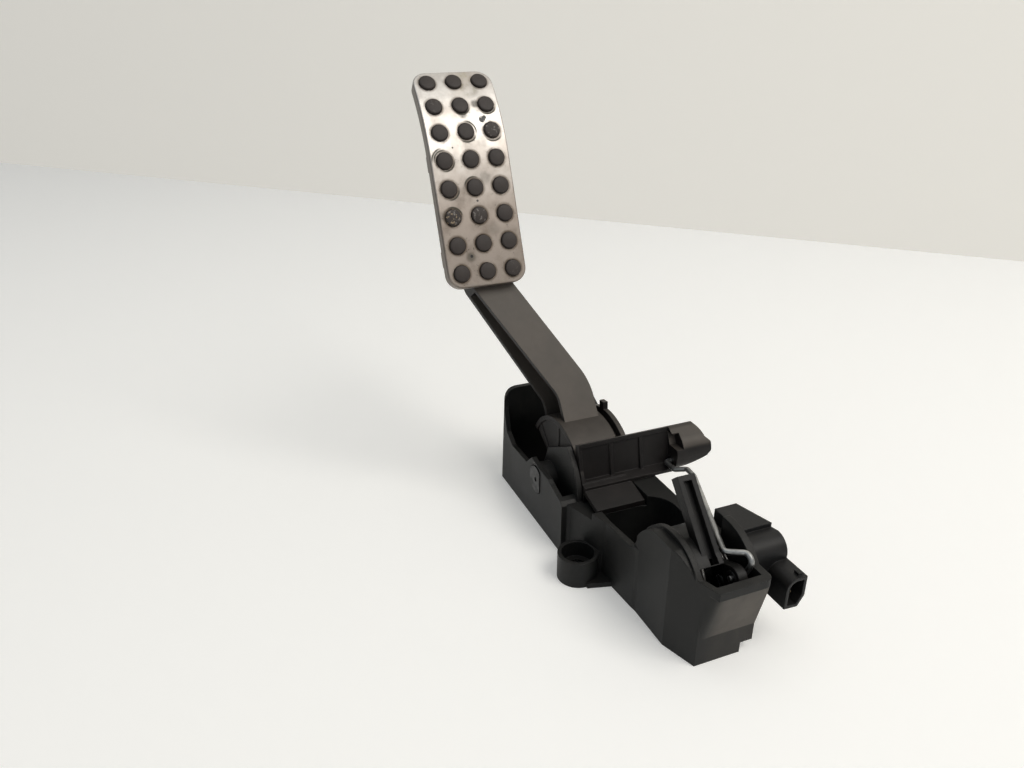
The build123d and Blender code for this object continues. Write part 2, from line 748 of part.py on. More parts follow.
with BuildPart() as pedal_arm:
    # Arm: its front outline run back, cut to its tapered side view and then to its ribs
    with BuildSketch(arm_face.offset(pad_stand_off)) as arm_front:
        bend_points = arm_outline(arm_half_width)
        Polygon(*bend_points, align=None)
        far_bend = arm_front.vertices().sort_by_distance(bend_points[2])[0]
        fillet(far_bend, radius=arm_bend_radius + arm_half_width)
        near_bend = arm_front.vertices().sort_by_distance(bend_points[5])[0]
        fillet(near_bend, radius=arm_bend_radius - arm_half_width)
    extrude(amount=-2 * arm_depth_low)
    with BuildSketch(arm_side):
        Polygon(
            (-arm_tail / 2, 0),
            (arm_length, 0),
            on_arm(pad_point(4.0, support_back - 1.0)),
            on_arm(pad_point(24.0, support_back - 1.0)),
            on_arm(pad_point(24.0, support_back + wall)),
            (arm_length, arm_depth_top),
            (0, arm_depth_low),
            (-arm_tail / 2, arm_depth_low),
            align=None,
        )
    extrude(amount=2 * pad_width, both=True, mode=Mode.INTERSECT)
    add(arm_cells.part, mode=Mode.SUBTRACT)
    add(pad_support.part)
    # Drum: rim, groove beside it, far flange with a tab, web, hub and ribs
    with BuildSketch(at_pivot(drum_far)):
        Circle(drum_radius)
        Circle(drum_radius - drum_rim, mode=Mode.SUBTRACT)
        Polygon(*wedge(drum_start, drum_end, drum_radius), align=None, mode=Mode.INTERSECT)
    extrude(amount=drum_width)
    with BuildSketch(at_pivot(flange_near)):
        Circle(drum_radius - groove_depth)
        Circle(drum_radius - groove_depth - drum_rim, mode=Mode.SUBTRACT)
        Polygon(*wedge(flange_start, flange_end, drum_radius), align=None, mode=Mode.INTERSECT)
    extrude(amount=groove_width + drum_rim)
    with BuildSketch(at_pivot(flange_far)):
        Circle(drum_radius + flange_height)
        Polygon(*wedge(flange_start, flange_end, drum_radius), align=None, mode=Mode.INTERSECT)
        with PolarLocations(drum_radius + flange_height, 1, tab_angle):
            Rectangle(2 * tab_height, tab_width)
    extrude(amount=flange_width)
    with BuildSketch(at_pivot(drum_near + 2 * clearance + drum_web)):
        Circle(drum_radius - clearance)
        Polygon(*wedge(drum_start, drum_end, drum_radius), align=None, mode=Mode.INTERSECT)
    extrude(amount=drum_web)
    with BuildSketch(at_pivot(flange_far)):
        Circle(hub_radius)
    extrude(amount=flange_far - drum_near)
    rib_reach = drum_radius - drum_rim - hub_radius + 2 * clearance
    rib_middle = (drum_radius - drum_rim + hub_radius) / 2
    rib_sweep = drum_end - drum_start - 2 * drum_rib_inset
    with BuildSketch(at_pivot(drum_far - clearance)):
        with PolarLocations(rib_middle, 4, drum_start + drum_rib_inset, rib_sweep, endpoint=True):
            Rectangle(rib_reach, drum_rib)
    extrude(amount=drum_width - 2 * clearance)
    # Output lever: channel beam, its ribs, the solid cap at the far end and the stop shelf
    with BuildSketch(at_pivot(cap_near)):
        Polygon(*lever_back, *lever_channel, align=None)
    extrude(amount=cap_near - lever_near)
    with BuildSketch(at_pivot(cap_near)):
        Polygon(
            *lever_channel[2:4],
            (block_back, lever_channel[3][1]),
            (block_back, lever_channel[2][1]),
            align=None,
        )
    extrude(amount=cap_near - lever_near - lever_rib, mode=Mode.SUBTRACT)
    rib_step = (cap_near - lever_near) / 3
    for rib in range(3):
        with BuildSketch(at_pivot(lever_near + lever_rib + rib * rib_step)):
            Polygon(*lever_back, *lever_rib_face, align=None)
        extrude(amount=lever_rib)
    add(lever_cap.part)
    with BuildSketch(at_pivot(cap_near + cap_notch)):
        Polygon(
            lever_channel[2],
            (lever_channel[3][0], cap_notch_low),
            (block_back, cap_notch_low),
            (block_back, lever_channel[2][1]),
            align=None,
        )
    extrude(amount=cap_notch, mode=Mode.SUBTRACT)
    with BuildSketch(at_pivot(shelf_far)):
        Polygon(
            shelf_root,
            shelf_tip,
            (shelf_tip[0], shelf_tip[1] - shelf_thickness),
            (shelf_root[0], shelf_root[1] - shelf_thickness),
            align=None,
        )
    extrude(amount=shelf_far - lever_near)
    # Bores for the pivot bushes and for the bush of the wire
    with BuildSketch(at_pivot(flange_far)):
        Circle(bush_radius + seat)
    extrude(amount=flange_far - drum_near, mode=Mode.SUBTRACT)
    with BuildSketch(side(cap_near + link_bush_length, link_top_x, link_top_z)):
        Circle(wire_radius + slip + link_bush_wall + seat)
    extrude(amount=link_bush_length, mode=Mode.SUBTRACT)
pedal_arm.part.label = "pedal_arm"
export_step(pedal_arm.part, "parts/pedal_arm.step")

# Inside of the pressed pad plate
with BuildPart() as pad_cavity:
    with BuildSketch(pad_side(pad_y + pad_width / 2 - plate_thickness)):
        add(cavity_strip)
    extrude(amount=pad_width - 2 * plate_thickness)
    cavity_wall = 2 * rim_depth - plate_thickness
    cavity_corners = pad_cavity.edges().filter_by(lambda edge: abs(edge.length - cavity_wall) < seat)
    fillet(cavity_corners, radius=pad_corner - plate_thickness)

with BuildPart() as pad_plate:
    with BuildSketch(pad_side(pad_y + pad_width / 2)):
        add(plate_strip)
    extrude(amount=pad_width)
    plate_corners = pad_plate.edges().filter_by(lambda edge: abs(edge.length - rim_depth) < seat)
    fillet(plate_corners, radius=pad_corner)
    pad_facing = Axis(origin=(0, 0, 0), direction=(sin(slope), 0, cos(slope)))
    plate_flat = pad_plate.faces().sort_by(pad_facing)[-1]
    plate_curve = pad_plate.faces().filter_by(GeomType.CYLINDER).sort_by(SortBy.AREA)[-1]
    face_seam = plate_flat.edges().filter_by(Axis.Y).sort_by(SortBy.LENGTH)[-1]
    face_edges = plate_flat.edges() + plate_curve.edges()
    seam_centre = face_seam.center()
    rim_edges = face_edges.filter_by(lambda edge: (edge.center() - seam_centre).length > seat)
    fillet(rim_edges, radius=pad_edge)
    add(pad_cavity.part, mode=Mode.SUBTRACT)
    for row in range(stud_rows):
        with BuildSketch(stud_plane(row)):
            with GridLocations(stud_column_pitch, 1, 3, 1):
                Circle(stud_diameter / 2 + stud_gap)
        extrude(amount=-2 * plate_thickness, mode=Mode.SUBTRACT)
    # Folded tabs that hold the support
    for edge_side in (-1, 1):
        tab_y = pad_y + edge_side * (pad_width - tab_reach) / 2
        with BuildSketch(pad_side(tab_y + tab_reach / 2)):
            with Locations((pad_flat / 4, rim_depth), (pad_flat, rim_depth)):
                Rectangle(tab_length, tab_thickness, align=(Align.CENTER, Align.MIN))
        extrude(amount=tab_reach)
pad_plate.part.label = "pad_plate"
export_step(pad_plate.part, "parts/pad_plate.step")

with BuildPart() as stud_mat:
    with BuildSketch(pad_side(pad_y + pad_width / 2 - layer_inset)):
        add(mat_strip)
    extrude(amount=pad_width - 2 * layer_inset)
    mat_corners = stud_mat.edges().filter_by(lambda edge: edge.length < 2 * mat_thickness)
    fillet(mat_corners, radius=pad_corner - layer_inset)
    for row in range(stud_rows):
        with BuildSketch(stud_plane(row).offset(-plate_thickness - mat_thickness / 2)):
            with GridLocations(stud_column_pitch, 1, 3, 1):
                Circle(stud_diameter / 2)
        extrude(amount=plate_thickness + mat_thickness / 2 + stud_height - stud_edge)
        with BuildSketch(stud_plane(row).offset(stud_height - stud_edge)):
            with GridLocations(stud_column_pitch, 1, 3, 1):
                Circle(stud_diameter / 2)
        extrude(amount=stud_edge, taper=45)
stud_mat.part.label = "stud_mat"
export_step(stud_mat.part, "parts/stud_mat.step")

# Pivot of the pedal
with BuildPart() as pivot_pin:
    with BuildSketch(at_pivot(far_face + 2 * clip_thickness)):
        Circle(pin_radius)
    extrude(amount=far_face + 2 * clip_thickness - near_face)
    with BuildSketch(at_pivot(near_face + pin_head_thickness)):
        Circle(pin_head_diameter / 2)
        with Locations((pin_head_flat, 0)):
            cut = 2 * pin_head_diameter
            Rectangle(cut, cut, align=(Align.MIN, Align.CENTER), mode=Mode.SUBTRACT)
    extrude(amount=pin_head_thickness + clearance)
    with BuildSketch(at_pivot(near_face - clearance)):
        Circle(pin_dimple / 2)
    extrude(amount=-pin_head_thickness / 2, mode=Mode.SUBTRACT)
    with BuildSketch(at_pivot(far_face + clip_thickness + seat)):
        Circle(pin_radius)
        Circle(pin_radius - clearance, mode=Mode.SUBTRACT)
    extrude(amount=clip_thickness + seat, mode=Mode.SUBTRACT)
pivot_pin.part.label = "pivot_pin"
export_step(pivot_pin.part, "parts/pivot_pin.step")

with BuildPart() as pin_clip:
    with BuildSketch(at_pivot(far_face + clip_thickness)):
        Circle(pin_radius + clip_width)
        Circle(pin_radius - clearance + seat, mode=Mode.SUBTRACT)
        Rectangle(pin_radius, 2 * pin_diameter, align=(Align.CENTER, Align.MAX), mode=Mode.SUBTRACT)
    extrude(amount=clip_thickness)
pin_clip.part.label = "pin_clip"
export_step(pin_clip.part, "parts/pin_clip.step")

with BuildPart() as pivot_bushes:
    for bush_far in (flange_far, drum_near + bush_length):
        with BuildSketch(at_pivot(bush_far)):
            Circle(bush_radius)
            Circle(pin_radius + slip, mode=Mode.SUBTRACT)
        extrude(amount=bush_length)
pivot_bushes.part.label = "pivot_bushes"
export_step(pivot_bushes.part, "parts/pivot_bushes.step")

# Small parts of the base
with BuildPart() as bolt_sleeves:
    with BuildSketch(Plane.XY):
        with Locations((0, -bolt_y), (0, bolt_y)):
            Circle(sleeve_diameter / 2)
            Circle(bolt_hole / 2, mode=Mode.SUBTRACT)
    extrude(amount=boss_floor + sleeve_proud)
bolt_sleeves.part.label = "bolt_sleeves"
export_step(bolt_sleeves.part, "parts/bolt_sleeves.step")

shelf_fall = (shelf_tip[1] - shelf_root[1]) / (shelf_tip[0] - shelf_root[0])


def shelf_under(x):
    """Height of the stop shelf's underside at x."""
    return pivot_z + shelf_root[1] - shelf_thickness + shelf_fall * (x - pivot_x - shelf_root[0])


with BuildPart() as stop_bumper:
    with BuildSketch(side(bumper_y + bumper_width / 2)):
        bumper_rear = bumper_x - bumper_length / 2
        bumper_front = bumper_x + bumper_length / 2
        Polygon(
            (bumper_rear, ledge_height - bumper_recess),
            (bumper_front, ledge_height - bumper_recess),
            (bumper_front, shelf_under(bumper_front) - rest_gap),
            (bumper_rear, shelf_under(bumper_rear) - rest_gap),
            align=None,
        )
    extrude(amount=bumper_width)
stop_bumper.part.label = "stop_bumper"
export_step(stop_bumper.part, "parts/stop_bumper.step")

# Wire link and the bush that holds it in the lever
wire_points = [(link_top_x, wire_start_y, link_top_z)]
wire_points += [(link_top_x + dx, y, link_top_z + dz) for dx, y, dz in wire_top_run]
wire_points += [(link_low_x + dx, y, link_low_z + dz) for dx, y, dz in wire_low_run]
wire_points += [(link_low_x, wire_end_y, link_low_z)]
with BuildPart() as wire_link:
    with BuildLine() as wire_path:
        FilletPolyline(*wire_points, radius=wire_bend)
    wire_run = wire_path.wires()[0]
    with BuildSketch(Plane(origin=wire_run @ 0, z_dir=wire_run % 0)):
        Circle(wire_radius)
    sweep(path=wire_run)
wire_link.part.label = "wire_link"
export_step(wire_link.part, "parts/wire_link.step")

with BuildPart() as lever_bush:
    with BuildSketch(side(cap_near + link_bush_length, link_top_x, link_top_z)):
        Circle(wire_radius + slip + link_bush_wall)
    extrude(amount=link_bush_length)
    with BuildSketch(side(cap_near + link_bush_length, link_top_x, link_top_z)):
        Circle(wire_radius + slip)
    extrude(amount=link_bush_length, mode=Mode.SUBTRACT)
lever_bush.part.label = "lever_bush"
export_step(lever_bush.part, "parts/lever_bush.step")

# Crank of the sensor
link_hole = wire_radius + link_play
crank_bush_radius = link_hole + link_bush_wall
bar_dx = bar_root[0] - bar_tip[0]
bar_dz = bar_root[1] - bar_tip[1]
bar_length = (bar_dx**2 + bar_dz**2) ** 0.5


def along_bar(y):
    """Plane along the channel bar: sketch x runs down from its tip and sketch y to its front."""
    tip = (sensor_x + bar_tip[0], y, sensor_z + bar_tip[1])
    return Plane(origin=tip, x_dir=(bar_dx, 0, bar_dz), z_dir=(0, -1, 0))


with BuildPart() as sensor_crank:
    # Spool: a cup with its front left open
    with BuildSketch(at_sensor(spool_far)):
        Circle(spool_radius)
        Polygon(*wedge(spool_start, spool_end, spool_radius), align=None, mode=Mode.INTERSECT)
    extrude(amount=spool_web)
    with BuildSketch(at_sensor(spool_far)):
        Circle(spool_radius)
        Circle(spool_radius - spool_rim, mode=Mode.SUBTRACT)
        Polygon(*wedge(spool_start, spool_end, spool_radius), align=None, mode=Mode.INTERSECT)
    extrude(amount=spool_far - spool_near)
    with BuildSketch(at_sensor(cradle_far - rest_gap)):
        Circle(crank_hub_radius)
    extrude(amount=cradle_far - cradle_near - 2 * rest_gap)
    # Channel bar that stands up from the spool
    with BuildSketch(along_bar(spool_far)):
        Rectangle(bar_length, bar_depth, align=(Align.MIN, Align.CENTER))
    extrude(amount=spool_far - bar_near)
    with BuildSketch(along_bar((spool_far + bar_near + bar_groove) / 2)):
        with Locations((bar_depth / 2, bar_depth / 2)):
            Rectangle(bar_length, 2 * bar_groove_depth, align=(Align.MIN, Align.CENTER))
    extrude(amount=bar_groove, mode=Mode.SUBTRACT)
    # Arm with the eye of the wire and the adjuster
    with BuildSketch(at_sensor(crank_arm_far)):
        with Locations((link_low_dx, link_low_dz)):
            Circle(crank_eye)
        with Locations(adjuster_place):
            Circle(crank_eye)
        Circle(crank_hub_radius)
        make_hull()
    extrude(amount=crank_arm_far - crank_arm_near)
    # Bores
    with BuildSketch(at_sensor(cradle_far)):
        Circle(shaft_radius + seat)
    extrude(amount=cradle_far - cradle_near, mode=Mode.SUBTRACT)
    with BuildSketch(at_sensor(crank_arm_far)):
        with Locations((link_low_dx, link_low_dz)):
            Circle(crank_bush_radius + seat)
        with Locations(adjuster_place):
            Circle(adjuster_diameter / 2 + seat)
    extrude(amount=crank_arm_far - crank_arm_near, mode=Mode.SUBTRACT)
sensor_crank.part.label = "sensor_crank"
export_step(sensor_crank.part, "parts/sensor_crank.step")

with BuildPart() as crank_bush:
    with BuildSketch(side(crank_arm_far, link_low_x, link_low_z)):
        Circle(crank_bush_radius)
        Circle(link_hole, mode=Mode.SUBTRACT)
    extrude(amount=crank_arm_far - crank_arm_near + clearance)
crank_bush.part.label = "crank_bush"
export_step(crank_bush.part, "parts/crank_bush.step")

with BuildPart() as adjuster_pin:
    with BuildSketch(at_sensor(crank_arm_far)):
        with Locations(adjuster_place):
            Circle(adjuster_diameter / 2)
    extrude(amount=crank_arm_far - crank_arm_near + adjuster_proud)
    with BuildSketch(at_sensor(crank_arm_near - adjuster_proud)):
        with Locations(adjuster_place):
            Rectangle(2 * adjuster_diameter, adjuster_slot, rotation=-45)
    extrude(amount=-adjuster_slot, mode=Mode.SUBTRACT)
adjuster_pin.part.label = "adjuster_pin"
export_step(adjuster_pin.part, "parts/adjuster_pin.step")

with BuildPart() as crank_shaft:
    with BuildSketch(at_sensor(rotor_far + clearance)):
        Circle(shaft_radius)
    extrude(amount=rotor_far + clearance - shaft_near)
crank_shaft.part.label = "crank_shaft"
export_step(crank_shaft.part, "parts/crank_shaft.step")

# Return springs beside the crank
near_spring_start = cradle_near + rest_gap + near_spring_wire / 2
near_spring_end = spool_far - spool_web - rest_gap - near_spring_wire / 2
with BuildPart() as return_spring_near:
    with BuildLine() as near_coil:
        Helix(
            pitch=(near_spring_end - near_spring_start) / near_spring_turns,
            height=near_spring_end - near_spring_start,
            radius=near_spring_radius,
            center=(sensor_x, near_spring_start, sensor_z),
            direction=(0, 1, 0),
        )
    near_run = near_coil.edges()[0]
    with BuildSketch(Plane(origin=near_run @ 0, z_dir=near_run % 0)):
        RegularPolygon(near_spring_wire / 2, 6)
    sweep(path=near_run, is_frenet=True)
return_spring_near.part.label = "return_spring_near"
export_step(return_spring_near.part, "parts/return_spring_near.step")

far_spring_start = crank_arm_far + rest_gap + far_spring_wire / 2
far_spring_end = cradle_far - rest_gap - far_spring_wire / 2
with BuildPart() as return_spring_far:
    with BuildLine() as far_coil:
        Helix(
            pitch=(far_spring_end - far_spring_start) / far_spring_turns,
            height=far_spring_end - far_spring_start,
            radius=far_spring_radius,
            center=(sensor_x, far_spring_start, sensor_z),
            direction=(0, 1, 0),
        )
    far_run = far_coil.edges()[0]
    with BuildSketch(Plane(origin=far_run @ 0, z_dir=far_run % 0)):
        RegularPolygon(far_spring_wire / 2, 6)
    sweep(path=far_run, is_frenet=True)
return_spring_far.part.label = "return_spring_far"
export_step(return_spring_far.part, "parts/return_spring_far.step")

# Sensor on the far wall of its box
with BuildPart() as sensor_cover:
    with BuildSketch(at_sensor(cover_far)):
        Circle(cover_radius)
        with Locations(*ear_places):
            Circle(ear_radius)
        make_hull()
    extrude(amount=cover_thickness)
    with BuildSketch(at_sensor(box_far)):
        Circle(spigot_radius)
    extrude(amount=box_far - cradle_far - rest_gap)
    with BuildSketch(at_sensor(cover_far)):
        Circle(shaft_radius + slip)
    extrude(amount=cover_far - cradle_far, mode=Mode.SUBTRACT)
    with BuildSketch(at_sensor(cover_far)):
        with Locations(*ear_places):
            Circle(screw_diameter / 2 + seat)
    extrude(amount=cover_thickness, mode=Mode.SUBTRACT)
sensor_cover.part.label = "sensor_cover"
export_step(sensor_cover.part, "parts/sensor_cover.step")

with BuildPart() as sensor_screws:
    with BuildSketch(at_sensor(cover_far)):
        with Locations(*ear_places):
            Circle(screw_diameter / 2)
    extrude(amount=cover_thickness + screw_depth - clearance)
    with BuildSketch(at_sensor(cover_far + screw_head_height)):
        with Locations(*ear_places):
            Circle(screw_head / 2)
    extrude(amount=screw_head_height)
sensor_screws.part.label = "sensor_screws"
export_step(sensor_screws.part, "parts/sensor_screws.step")

blade_rows = (sensor_far - 8.4, sensor_far - 3.8)
blade_places = [(y, step * blade_pitch) for y in blade_rows for step in (-1, 0, 1)]
with BuildSketch(mode=Mode.PRIVATE) as socket_shape:
    Polygon(*socket_section, align=None)
    fillet(socket_shape.vertices().sort_by_distance(socket_section[-1])[0], radius=socket_round)
socket_outline = socket_shape.sketch
with BuildPart() as sensor_body:
    # Case with a slanted far side
    with BuildSketch(at_sensor(sensor_far)) as case_side:
        Polygon(
            (-sensor_back, 0),
            (sensor_front, 0),
            (sensor_front, sensor_high - sensor_step),
            (sensor_step_x, sensor_high - sensor_step),
            (sensor_step_x, sensor_high),
            (-sensor_back, sensor_high),
            align=None,
        )
        fillet(case_side.vertices().sort_by_distance((sensor_front, sensor_high))[0], radius=sensor_round)
        Circle(sensor_low)
    extrude(amount=sensor_far - cover_far)
    with BuildSketch(Plane.XY):
        Polygon(
            (sensor_x - sensor_back - wall, sensor_far - sensor_taper),
            (sensor_x + sensor_front - sensor_round, sensor_far),
            (sensor_x + sensor_front - sensor_round, sensor_far + wall),
            (sensor_x - sensor_back - wall, sensor_far + wall),
            align=None,
        )
    extrude(amount=2 * box_height, mode=Mode.SUBTRACT)
    # Connector shroud with its lock tab
    with BuildSketch(across(socket_x - 2 * clearance, sensor_z)):
        add(socket_outline)
    extrude(amount=socket_length + 2 * clearance)
    lock_x = socket_end - 2 * socket_wall
    with Locations((lock_x, sensor_far - lock_width, sensor_z + socket_section[-1][1])):
        Box(socket_wall * 2, lock_width, lock_height, align=(Align.CENTER, Align.CENTER, Align.MIN))
    with BuildSketch(across(socket_floor, sensor_z)):
        add(socket_outline)
        offset(amount=-socket_wall, kind=Kind.INTERSECTION, mode=Mode.REPLACE)
    extrude(amount=socket_depth, mode=Mode.SUBTRACT)
    # Room for the rotor and the board, groove of the seal and seats of the blades
    with BuildSketch(at_sensor(cavity_far)):
        Circle(cavity_radius)
    extrude(amount=cavity_depth, mode=Mode.SUBTRACT)
    with BuildSketch(at_sensor(cover_far + seal_thickness)):
        Circle(seal_radius + seal_width + seat)
        Circle(seal_radius - seat, mode=Mode.SUBTRACT)
    extrude(amount=seal_thickness, mode=Mode.SUBTRACT)
    with BuildSketch(across(socket_floor, sensor_z)):
        with Locations(*blade_places):
            Rectangle(blade_thickness + 2 * seat, blade_width + 2 * seat)
    extrude(amount=-blade_seat, mode=Mode.SUBTRACT)
sensor_body.part.label = "sensor_body"
export_step(sensor_body.part, "parts/sensor_body.step")

with BuildPart() as sensor_seal:
    with BuildSketch(at_sensor(cover_far + seal_thickness)):
        Circle(seal_radius + seal_width)
        Circle(seal_radius, mode=Mode.SUBTRACT)
    extrude(amount=seal_thickness)
sensor_seal.part.label = "sensor_seal"
export_step(sensor_seal.part, "parts/sensor_seal.step")

with BuildPart() as terminals:
    with BuildSketch(across(socket_floor - blade_seat, sensor_z)):
        with Locations(*blade_places):
            Rectangle(blade_thickness, blade_width)
    extrude(amount=blade_seat + blade_length)
terminals.part.label = "terminals"
export_step(terminals.part, "parts/terminals.step")

with BuildPart() as sensor_rotor:
    with BuildSketch(at_sensor(rotor_far)):
        Circle(rotor_radius)
        Circle(shaft_radius + seat, mode=Mode.SUBTRACT)
    extrude(amount=rotor_thickness)
sensor_rotor.part.label = "sensor_rotor"
export_step(sensor_rotor.part, "parts/sensor_rotor.step")

board_near = cavity_far - board_thickness
with BuildPart() as sensor_board:
    with BuildSketch(at_sensor(cavity_far)):
        Circle(cavity_radius - rest_gap)
    extrude(amount=board_thickness)
sensor_board.part.label = "sensor_board"
export_step(sensor_board.part, "parts/sensor_board.step")

with BuildPart() as wiper_contacts:
    with BuildSketch(at_sensor(board_near - rest_gap)):
        with PolarLocations(rotor_radius - wiper_width / 2 - clearance, 2):
            Rectangle(wiper_thickness, wiper_width)
    extrude(amount=board_near - rest_gap - rotor_far)
wiper_contacts.part.label = "wiper_contacts"
export_step(wiper_contacts.part, "parts/wiper_contacts.step")
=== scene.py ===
from functools import partial
from math import cos, pi, radians, sin

import bpy
import numpy as np
from bpy.props import FloatProperty, FloatVectorProperty, IntProperty, PointerProperty
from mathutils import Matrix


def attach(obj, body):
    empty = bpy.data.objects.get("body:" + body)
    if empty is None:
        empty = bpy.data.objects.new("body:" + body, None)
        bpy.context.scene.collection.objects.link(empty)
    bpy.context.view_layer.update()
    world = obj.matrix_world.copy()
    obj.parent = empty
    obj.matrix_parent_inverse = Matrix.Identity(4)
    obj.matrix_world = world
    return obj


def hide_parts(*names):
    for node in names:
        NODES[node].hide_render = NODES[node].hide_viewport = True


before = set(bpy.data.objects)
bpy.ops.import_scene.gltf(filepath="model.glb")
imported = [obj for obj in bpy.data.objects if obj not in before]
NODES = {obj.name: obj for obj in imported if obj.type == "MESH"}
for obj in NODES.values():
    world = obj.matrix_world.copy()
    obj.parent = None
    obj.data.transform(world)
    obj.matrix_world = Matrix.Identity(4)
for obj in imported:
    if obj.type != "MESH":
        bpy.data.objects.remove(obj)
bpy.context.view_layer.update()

bl_info = {
    "name": "Accelerator pedal looks",
    "version": (1, 0, 0),
    "blender": (4, 5, 0),
    "location": "View3D > Sidebar > Pedal",
    "description": "Finishes, studs and springs of an accelerator pedal module",
    "category": "Object",
}

MM = 0.001

# Marks on the pad: row from the foot and column, then reach in millimetres and force
PAD_STAINS = (
    (0.55, -0.55, 4.0, 0.55),
    (6.62, 0.52, 7.0, 0.28),
    (6.05, 0.58, 3.4, 0.6),
    (5.66, 0.02, 3.6, 0.45),
    (3.3, 0.45, 5.0, 0.25),
    (1.5, 0.5, 5.0, 0.22),
    (2.1, -1.4, 4.0, 0.3),
)
# Deep dark nicks: row, column and reach in millimetres
PAD_NICKS = ((5.42, 0.72, 2.6), (5.5, 0.82, 1.6), (0.58, -0.52, 1.2), (4.45, -0.62, 0.7), (2.52, 0.02, 0.9))
# Rubbed arcs beside a stud: its row and column, turn from straight up, and radius in millimetres
PAD_ARCS = (
    (5.0, 0.0, 2.9, 6.3),
    (5.0, 0.0, 0.9, 6.5),
    (5.0, 1.0, 3.0, 6.5),
    (4.0, -1.0, -0.7, 6.2),
    (4.0, -1.0, -0.9, 7.4),
    (4.0, -1.0, 2.5, 6.0),
    (6.0, 0.0, 2.9, 5.6),
    (6.0, 1.0, 2.9, 6.0),
    (3.0, 0.0, -0.6, 6.2),
    (3.0, -1.0, 2.4, 6.3),
    (2.0, -1.0, 0.5, 5.9),
)
# Springs round the crank: name, radius, start and end across the box, turns and wire
SPRINGS = (
    ("spring_near", 15.0 * MM, -12.1 * MM, -2.4 * MM, 3.0, 2.2 * MM),
    ("spring_far", 10.8 * MM, 10.6 * MM, 13.4 * MM, 1.5, 1.6 * MM),
)
# Studs scuffed more than the rest: row and column, and how much
WORN_STUDS = {(5, 1): 0.92, (2, 0): 0.9, (2, -1): 1.0, (6, -1): 0.7, (0, 1): 0.7}
WEAR_SEED = 11
STUD_SIDES = 44
SPRING_SIDES = 14
COIL_STEPS = 48
SHARP_ANGLE = radians(40.0)

# Colours of marks, as RGBA
# The pale brown below is dust, also used for a painted sheen on the arm.
DUST_SHEEN_COLOUR = (0.27, 0.235, 0.20, 1.0)
NICK = (0.012, 0.010, 0.009, 1.0)
SCUFF = (0.24, 0.215, 0.195, 1.0)
CRUMB = (0.36, 0.27, 0.17, 1.0)
TRACK = (0.02, 0.02, 0.022, 1.0)

# Stage: how much paler the camera sees the floor and wall, their reach, and the lamps
FLOOR_GLOW = 0.27
WALL_GLOW = 0.95
FLOOR_REACH = 4.0
WALL_FOOT = np.array([(-1.52, -0.50), (-0.33, 0.73)])
WALL_HEIGHT = 3.5
KEY = {"place": (0.99, 0.64, 1.68), "target": (-0.1, 0.0, 0.15), "size": 1.15, "colour": (1.0, 0.96, 0.90)}
TOP = {"place": (-0.1, 0.3, 2.1), "target": (-0.05, 0.0, 0.1), "size": 2.4, "colour": (1.0, 0.985, 0.96)}
ROOM_COLOUR = (0.88, 0.95, 1.0, 1.0)
SENSOR_WIDTH = 36.0


class Value:
    """A number on a shader socket. Its operators add Math nodes to the same tree."""

    def __init__(self, finish, socket):
        self.finish = finish
        self.socket = socket

    def math(self, operation, *operands):
        node = self.finish.add("ShaderNodeMath", {"operation": operation}, dict(enumerate(operands)))
        return Value(self.finish, node.outputs[0])

    def __add__(self, other):
        return self.math("ADD", self, other)

    def __radd__(self, other):
        return self.math("ADD", other, self)

    def __sub__(self, other):
        return self.math("SUBTRACT", self, other)

    def __rsub__(self, other):
        return self.math("SUBTRACT", other, self)

    def __mul__(self, other):
        return self.math("MULTIPLY", self, other)

    def __rmul__(self, other):
        return self.math("MULTIPLY", other, self)

    def __truediv__(self, other):
        return self.math("DIVIDE", self, other)

    def __pow__(self, other):
        return self.math("POWER", self, other)

    def most(self, other):
        return self.math("MAXIMUM", self, other)

    def least(self, other):
        return self.math("MINIMUM", self, other)

    def off_grid(self):
        """Signed distance of a number from the nearest whole one."""
        return self - self.math("ROUND", self)

    def step(self, low, high):
        """Smooth step from 0 at low to 1 at high."""
        settings = {"interpolation_type": "SMOOTHSTEP"}
        node = self.finish.add("ShaderNodeMapRange", settings, {0: self, 1: low, 2: high})
        return Value(self.finish, node.outputs[0])


